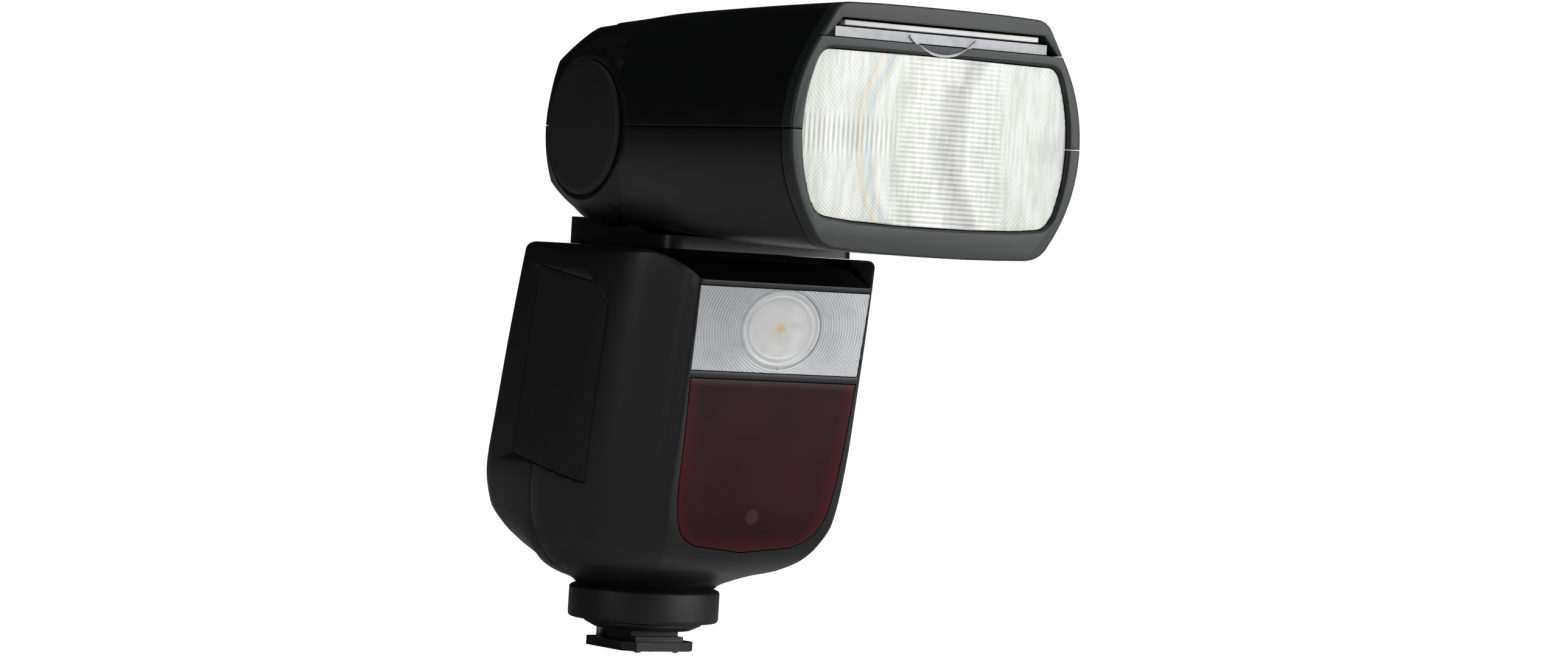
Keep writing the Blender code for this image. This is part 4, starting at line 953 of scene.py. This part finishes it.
def lens_outline(grow=0.0):
    low = curve_corner((20.0, 96.1), (28.4, 96.9), (30.2, 100.0), 2.2, 6)
    side = arc((32.9 - 38.0, 113.9), 38.0, -22, 22, 16)
    high = curve_corner(side[-1], (28.9, 130.3), (20.0, 130.4), 1.8, 6)
    half = [(0.0, 95.7), (10.0, 95.8), (20.0, 96.1)] + low + side + high
    half += [(20.0, 130.4), (10.0, 130.45), (0.0, 130.5)]
    return grown(mirrored(half), grow)


def head_solid(name, front_edge=0.7):
    sections = []
    for i in range(5):
        angle = TURN / 4 * i / 4
        drawn = front_edge * (1 - math.sin(angle)) / HEAD_HALF
        y = HEAD_FRONT + front_edge * (1 - math.cos(angle))
        sections.append([(x, y, z) for x, z in head_outline(1 - drawn, 1 - drawn, 1 - drawn)])
    for y in spread(-99.5, 3.5, 2.6):
        width, above, below = eased(HEAD_LEVELS, y)
        sections.append([(x, y, z) for x, z in head_outline(width, above, below)])
    return loft(name, sections, 28)


def head_profile(name):
    """The head's side view, with its rear rounded about the tilt axis."""
    rear = arc(PIVOT, HEAD_REAR_R, 18, -108, 36)
    corners = [(-13.5, 138.0), (-7.6, 135.8), (-3.2, 132.6), (-0.2, 129.0), (1.3, 124.6)]
    top = [(-110.0, 145.0), (-24.0, 145.0)]
    stations = [Vector(point) for point in (top[-1], *corners, rear[0])]
    for before, here, after in zip(stations, stations[1:], stations[2:]):
        top += bend((before + here) / 2, here, (here + after) / 2, (0.1, 0.3, 0.5, 0.7, 0.9))
    bottom = [(-33.0, 91.6), (-46.0, 85.0), (-110.0, 85.0)]
    return prism(name, top + rear + bottom, "X", -60, 60)


def between_cheeks():
    """What is left out between the two cheeks, so that the head clears the neck when it is tilted back."""
    outline = arc(PIVOT, BACK_R, 0, 80, 27) + [(-10.0, 160.0), (30.0, 160.0), (30.0, PIVOT_Z)]
    return prism("cut_between_cheeks", outline, "X", -CHEEK_X, CHEEK_X)


def head_cavity(name):
    sections = []
    for y in (-99.0, -80.0, -60.0, -43.0):
        width, above, below = eased(HEAD_LEVELS, y)
        sections.append([(x, y, z) for x, z in head_outline(width, above, below, WALL)])
    return loft(name, sections)


def slot_outline(grow=0.0):
    half = [(0.0, SLOT_BOTTOM), (28.6, SLOT_BOTTOM), (25.1, SLOT_TOP), (0.0, SLOT_TOP)]
    return grown(mirrored(half), grow)


def pivot_dish(name, sign, sides=128):
    """What is cut away over the cap: a slope that falls towards the rear and rises into the flank in front."""
    bm = bmesh.new()
    rings = []
    for radius in (27.0, 23.0, 20.0, 17.5, 15.6):
        ring = []
        for y, z in circle(radius, sides):
            forward = 0.5 - 0.5 * y / radius
            slope = -0.52 + 0.97 * forward * forward * (3 - 2 * forward)
            ring.append(bm.verts.new((33.5 + (radius - 15.6) * slope, y, z)))
        rings.append(ring)
    for reach in (33.4, 33.2):
        rings.append([bm.verts.new((reach, y, z)) for y, z in circle(CAP_R + GAP, sides)])
    far = [bm.verts.new((46.0, v.co.y, v.co.z)) for v in rings[0]]
    rings.insert(0, far)
    bridge(bm, rings)
    bm.faces.new(far)
    bm.faces.new(rings[-1])
    for v in bm.verts:
        v.co = Vector((sign * v.co.x, v.co.y + PIVOT_Y, v.co.z + PIVOT_Z))
    return make(name, bm)


def head_shells():
    fork = BARREL_HALF + 0.5
    stem = [PIVOT] + arc(PIVOT, 40, -131, 72, 24)
    room = [box("cut_bezel_room", (-60, -120, 60), (60, BEZEL_BACK + GAP, SLOT_BOTTOM)),
            head_cavity("cut_inside"), prism("cut_slot", slot_outline(GAP), "Y", -120, BEZEL_BACK + GAP),
            tilt_rod("cut_barrel_room", fork, BARREL_R + 0.8, 128),
            prism("cut_stem_room", stem, "X", -fork, fork), between_cheeks(),
            tilt_rod("cut_head_axle", 31.2, 5.15)]
    cheek = [(0, 31.0), (16.6, 31.0), (16.6, 24.2), (0, 24.2)]
    bosses = []
    for side, sign in SIDES:
        room.append(pivot_dish("cut_dish_" + side, sign))
        room.append(revolve_about_pivot("cut_cheek_" + side, cheek, sign))
        boss = [(0, 33.9), (15.0, 33.9), (17.4, 32.2), (BOSS_R, 28.4), (BOSS_R, 24.03), (0, 24.03)]
        bosses.append(revolve_about_pivot("join_boss_" + side, boss, sign))
    for name, node, low, high in (("upper_casing", "head_upper_shell", SEAM_Z + GAP / 2, 170),
                                  ("lower_casing", "head_lower_shell", 60, SEAM_Z - GAP / 2)):
        shell = join(keep(head_solid(name), head_profile("keep_profile_" + name)), *bosses)
        cut(keep(shell, box("keep_" + name, (-60, -120, low), (60, 20, high))), *room)
        if node == "head_upper_shell":
            hood = shell.copy()
            hood.data = shell.data.copy()
            hood.name = "hood_front"
            bpy.context.scene.collection.objects.link(hood)
            keep(hood, box("keep_hood", (-60, -120, 120), (60, BEZEL_BACK, 150)))
            cut(shell, box("cut_hood", (-60, -120, 120), (60, BEZEL_BACK + 0.02, 150)))
            finish(soften(hood, 0.15), "head", "shell_black", looks="bezel_black")
        finish(soften(shell, 0.3), "head", "shell_black", node)
    for side, sign in SIDES:
        profile = [(0, CAP_X + 0.05), (CAP_R - 1.6, CAP_X), (CAP_R - 0.7, CAP_X - 0.1),
                   (CAP_R - 0.2, CAP_X - 0.4), (CAP_R, CAP_X - 0.8), (CAP_R, CAP_BACK), (0, CAP_BACK)]
        cap = revolve_about_pivot("cap_disc_" + side, profile, sign)
        finish(cap, "head", "matte_black", "pivot_cap_" + side, "cap_black")


def bezel():
    opening = prism("cut_lens_opening", lens_outline(GAP), "Y", -110, -90)
    chamfer = loft("cut_lens_chamfer", [[(x, y, z) for x, z in lens_outline(grow)]
                                        for y, grow in ((-104.0, 2.6), (HEAD_FRONT + 0.7, 0.1))])
    notch = turned("cut_finger_notch", [(0, 6), (9.6, 6), (9.6, 0), (0, 0)], (0, HEAD_FRONT + 0.8, 140.0),
                   Matrix.Rotation(TURN / 4, 3, "X"), 96)
    for name, node, low, high in (("bezel_top", "bezel_upper", SEAM_Z + GAP / 2, SLOT_BOTTOM - 0.2),
                                  ("bezel_bottom", "bezel_lower", 60, SEAM_Z - GAP / 2)):
        ring = head_solid(name)
        keep(ring, box("keep_" + name, (-60, -120, low), (60, BEZEL_BACK, high)))
        cut(ring, opening, chamfer, notch)
        finish(soften(ring, 0.2), "head", "shell_black", node, "bezel_black")


def lens_relief(x, z):
    """Pressed ribs: level ones in the middle, upright ones at the left, fine slanted ones elsewhere."""
    crown = 0.9 * (1 - (x / 34.0) ** 2) * (1 - ((z - 113.1) / 22.0) ** 2)
    middle = math.exp(-(abs(x - 3.0) / 13.0) ** 6)
    centre = math.exp(-(abs(z - 113.5) / 4.5) ** 4)
    level = 0.055 * math.cos(TURN * z / 1.0) * middle
    upright = 0.05 * math.cos(TURN * x / 1.15) * (1 - middle) * centre
    away = abs(z - 113.1)
    slanted = 0.028 * math.cos(TURN * (x * 0.8 + away * 0.7) / 0.85)
    crossed = 0.02 * math.cos(TURN * (x * 0.8 - away * 0.9) / 0.8)
    return crown + level + upright + (slanted + crossed) * (1 - middle) * (1 - centre)


def lens():
    outline = lens_outline(-0.02)
    low, high = min(z for _, z in outline), max(z for _, z in outline)
    right = sorted((z, x) for x, z in outline if x > 0)
    levels, widths = [z for z, _ in right], [x for _, x in right]
    made = relief_plate("ribbed_lens", spread(low + 0.05, high - 0.05, 0.17),
                        lambda z: float(np.interp(z, levels, widths)),
                        lambda x, z: HEAD_FRONT + 1.0 - lens_relief(x, z), lambda y: -98.0, 60)
    finish(made, "head", "clear_lens", "lens", "lens")


def drawer():
    """The clear wide panel and the white card, with only their front edges showing."""
    left, right, bottom, top = -26.5, 26.5, SLOT_BOTTOM + 0.05, 134.95
    columns = 240
    front = []
    for i in range(columns + 1):
        x = left + (right - left) * i / columns
        front.append((x, HEAD_FRONT + 0.75 - 0.03 * math.cos(TURN * x / 0.7)))
    outline = front + [(right, BEZEL_BACK - 0.2), (left, BEZEL_BACK - 0.2)]
    panel = prism("wide_flap", outline, "Z", bottom, top, 50)
    join(panel, box("join_panel", (-24.4, -99.0, 133.0), (24.4, -50.0, 134.3), 0.2))
    angles = [math.radians(-47 + 94 * i / 40) for i in range(41)]
    lip = [(11.6 * math.sin(a), 142.1 - 11.6 * math.cos(a)) for a in angles]
    lip += [(11.1 * math.sin(a), 142.1 - 11.1 * math.cos(a)) for a in reversed(angles)]
    join(panel, prism("join_lip", lip, "Y", HEAD_FRONT + 0.3, HEAD_FRONT + 0.8))
    finish(soften(panel, 0.08), "wide_panel", "clear_lens", "wide_panel")
    card = box("white_flap", (-24.3, HEAD_FRONT + 0.8, 135.35), (24.3, BEZEL_BACK - 0.3, 136.4), 0.2)
    join(card, box("join_card", (-21.6, -100.0, 135.4), (21.6, -47.0, 136.2)))
    finish(card, "bounce_card", "white_card", "bounce_card")


# ---------------------------------------------------------------- studio

CAMERA_AT = (-0.568183, -0.898462, 0.085402)
CAMERA_ANGLES = (33.7909, 0.7028, 3.3669)    # turn from +Y towards +X, pitch below level, roll
CAMERA_LENS = 110.207
# name, direction from the flash, distance, width and height in metres, power in watts
LIGHTS = (
    ("key_softbox", (0.62, -0.85, 0.42), 1.1, (0.9, 1.1), 11.5),
    ("top_softbox", (0.0, -0.15, 1.0), 1.0, (0.9, 0.9), 1.6),
    ("left_strip", (-0.97, -0.16, 0.1), 1.2, (0.16, 1.0), 1.6),
    ("low_front_fill", (-0.1, -1.0, -0.02), 1.5, (1.2, 0.5), 0.6),
)


def studio():
    floor = bpy.data.materials.new("floor_paint")
    floor.use_nodes = True
    tree = floor.node_tree
    shader = tree.nodes["Principled BSDF"]
    place = add(tree, "TexCoord").outputs["Object"]
    tree.links.new(ramp(tree, noise(tree, place, 3.0), [(0.3, grey(0.78)), (0.7, grey(0.82))]),
                   shader.inputs["Base Color"])
    shader.inputs["Roughness"].default_value = 0.6
    shader.inputs["Emission Color"].default_value = (1, 1, 1, 1)
    seen = add(tree, "LightPath").outputs["Is Camera Ray"]
    glow = add(tree, "MapRange", {0: seen, 3: 0.02, 4: 1.0}).outputs[0]
    tree.links.new(glow, shader.inputs["Emission Strength"])
    bm = bmesh.new()
    bmesh.ops.create_grid(bm, x_segments=4, y_segments=4, size=9000.0)
    bmesh.ops.translate(bm, vec=(0, 0, -0.6), verts=bm.verts)
    ground = make("floor", bm)
    ground.data.materials.append(floor)

    world = bpy.data.worlds.new("studio")
    bpy.context.scene.world = world
    world.use_nodes = True
    tree = world.node_tree
    glow = tree.nodes["Background"]
    glow.inputs["Color"].default_value = (0.95, 0.97, 1.0, 1.0)
    glow.inputs["Strength"].default_value = 0.012
    backdrop = add(tree, "Background", {"Color": (1, 1, 1, 1), "Strength": 1.0})
    seen = add(tree, "LightPath").outputs["Is Camera Ray"]
    blend = add(tree, "MixShader", {0: seen, 1: glow.outputs[0], 2: backdrop.outputs[0]})
    tree.links.new(blend.outputs[0], tree.nodes["World Output"].inputs["Surface"])

    target = Vector((0, -0.035, 0.07))
    for name, direction, away, size, power in LIGHTS:
        light = bpy.data.lights.new(name, "AREA")
        light.shape = "RECTANGLE"
        light.size, light.size_y = size
        light.energy = power
        lamp = bpy.data.objects.new(name, light)
        toward = Vector(direction).normalized()
        lamp.location = target + toward * away
        lamp.rotation_euler = toward.to_track_quat("Z", "Y").to_euler()
        bpy.context.scene.collection.objects.link(lamp)


def camera():
    turn, pitch, roll = (math.radians(angle) for angle in CAMERA_ANGLES)
    level = math.cos(pitch)
    forward = Vector((math.sin(turn) * level, math.cos(turn) * level, -math.sin(pitch)))
    right = Vector((math.cos(turn), -math.sin(turn), 0))
    up = right.cross(forward)
    axis_x = right * math.cos(roll) + up * math.sin(roll)
    axis_y = up * math.cos(roll) - right * math.sin(roll)
    data = bpy.data.cameras.new("camera")
    data.sensor_width, data.lens = 36.0, CAMERA_LENS
    data.clip_start, data.clip_end = 0.01, 50.0
    made = bpy.data.objects.new("camera", data)
    facing = Matrix((axis_x, axis_y, -forward)).transposed().to_4x4()
    made.matrix_world = Matrix.Translation(CAMERA_AT) @ facing
    bpy.context.scene.collection.objects.link(made)
    bpy.context.scene.camera = made


# ---------------------------------------------------------------- the pieces that keep their CAD shape

CAD_LOOKS = {
    "swivel_retainer": "steel", "tilt_axle": "steel", "guide_rod": "steel", "zoom_screw": "steel",
    "zoom_motor": "steel", "usb_socket": "steel", "battery_latch": "matte_black", "port_panel": "matte_black",
    "sync_socket": "matte_black", "battery_tray": "matte_black", "screen_module": "grey_plastic",
    "main_board": "board_green", "flash_capacitor": "matte_black", "led_emitter": "led_yellow",
    "light_sensor": "matte_black", "drawer_tray": "matte_black", "zoom_carriage": "matte_black",
    "reflector": "bright_reflector", "flash_tube": "tube_glass",
}


def cad_looks():
    for node, looks in CAD_LOOKS.items():
        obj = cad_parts[node]
        obj.data.materials.clear()
        obj.data.materials.append(MATERIALS[looks])
        soften(obj, 0.15)


bpy.context.scene.view_settings.view_transform = "Standard"
camera()
studio()
body_shells()
windows()
side_covers()
rear_controls()
foot_and_collar()
neck()
head_shells()
bezel()
lens()
drawer()
cad_looks()
for cutter in set(cutters):
    bpy.data.objects.remove(cutter)
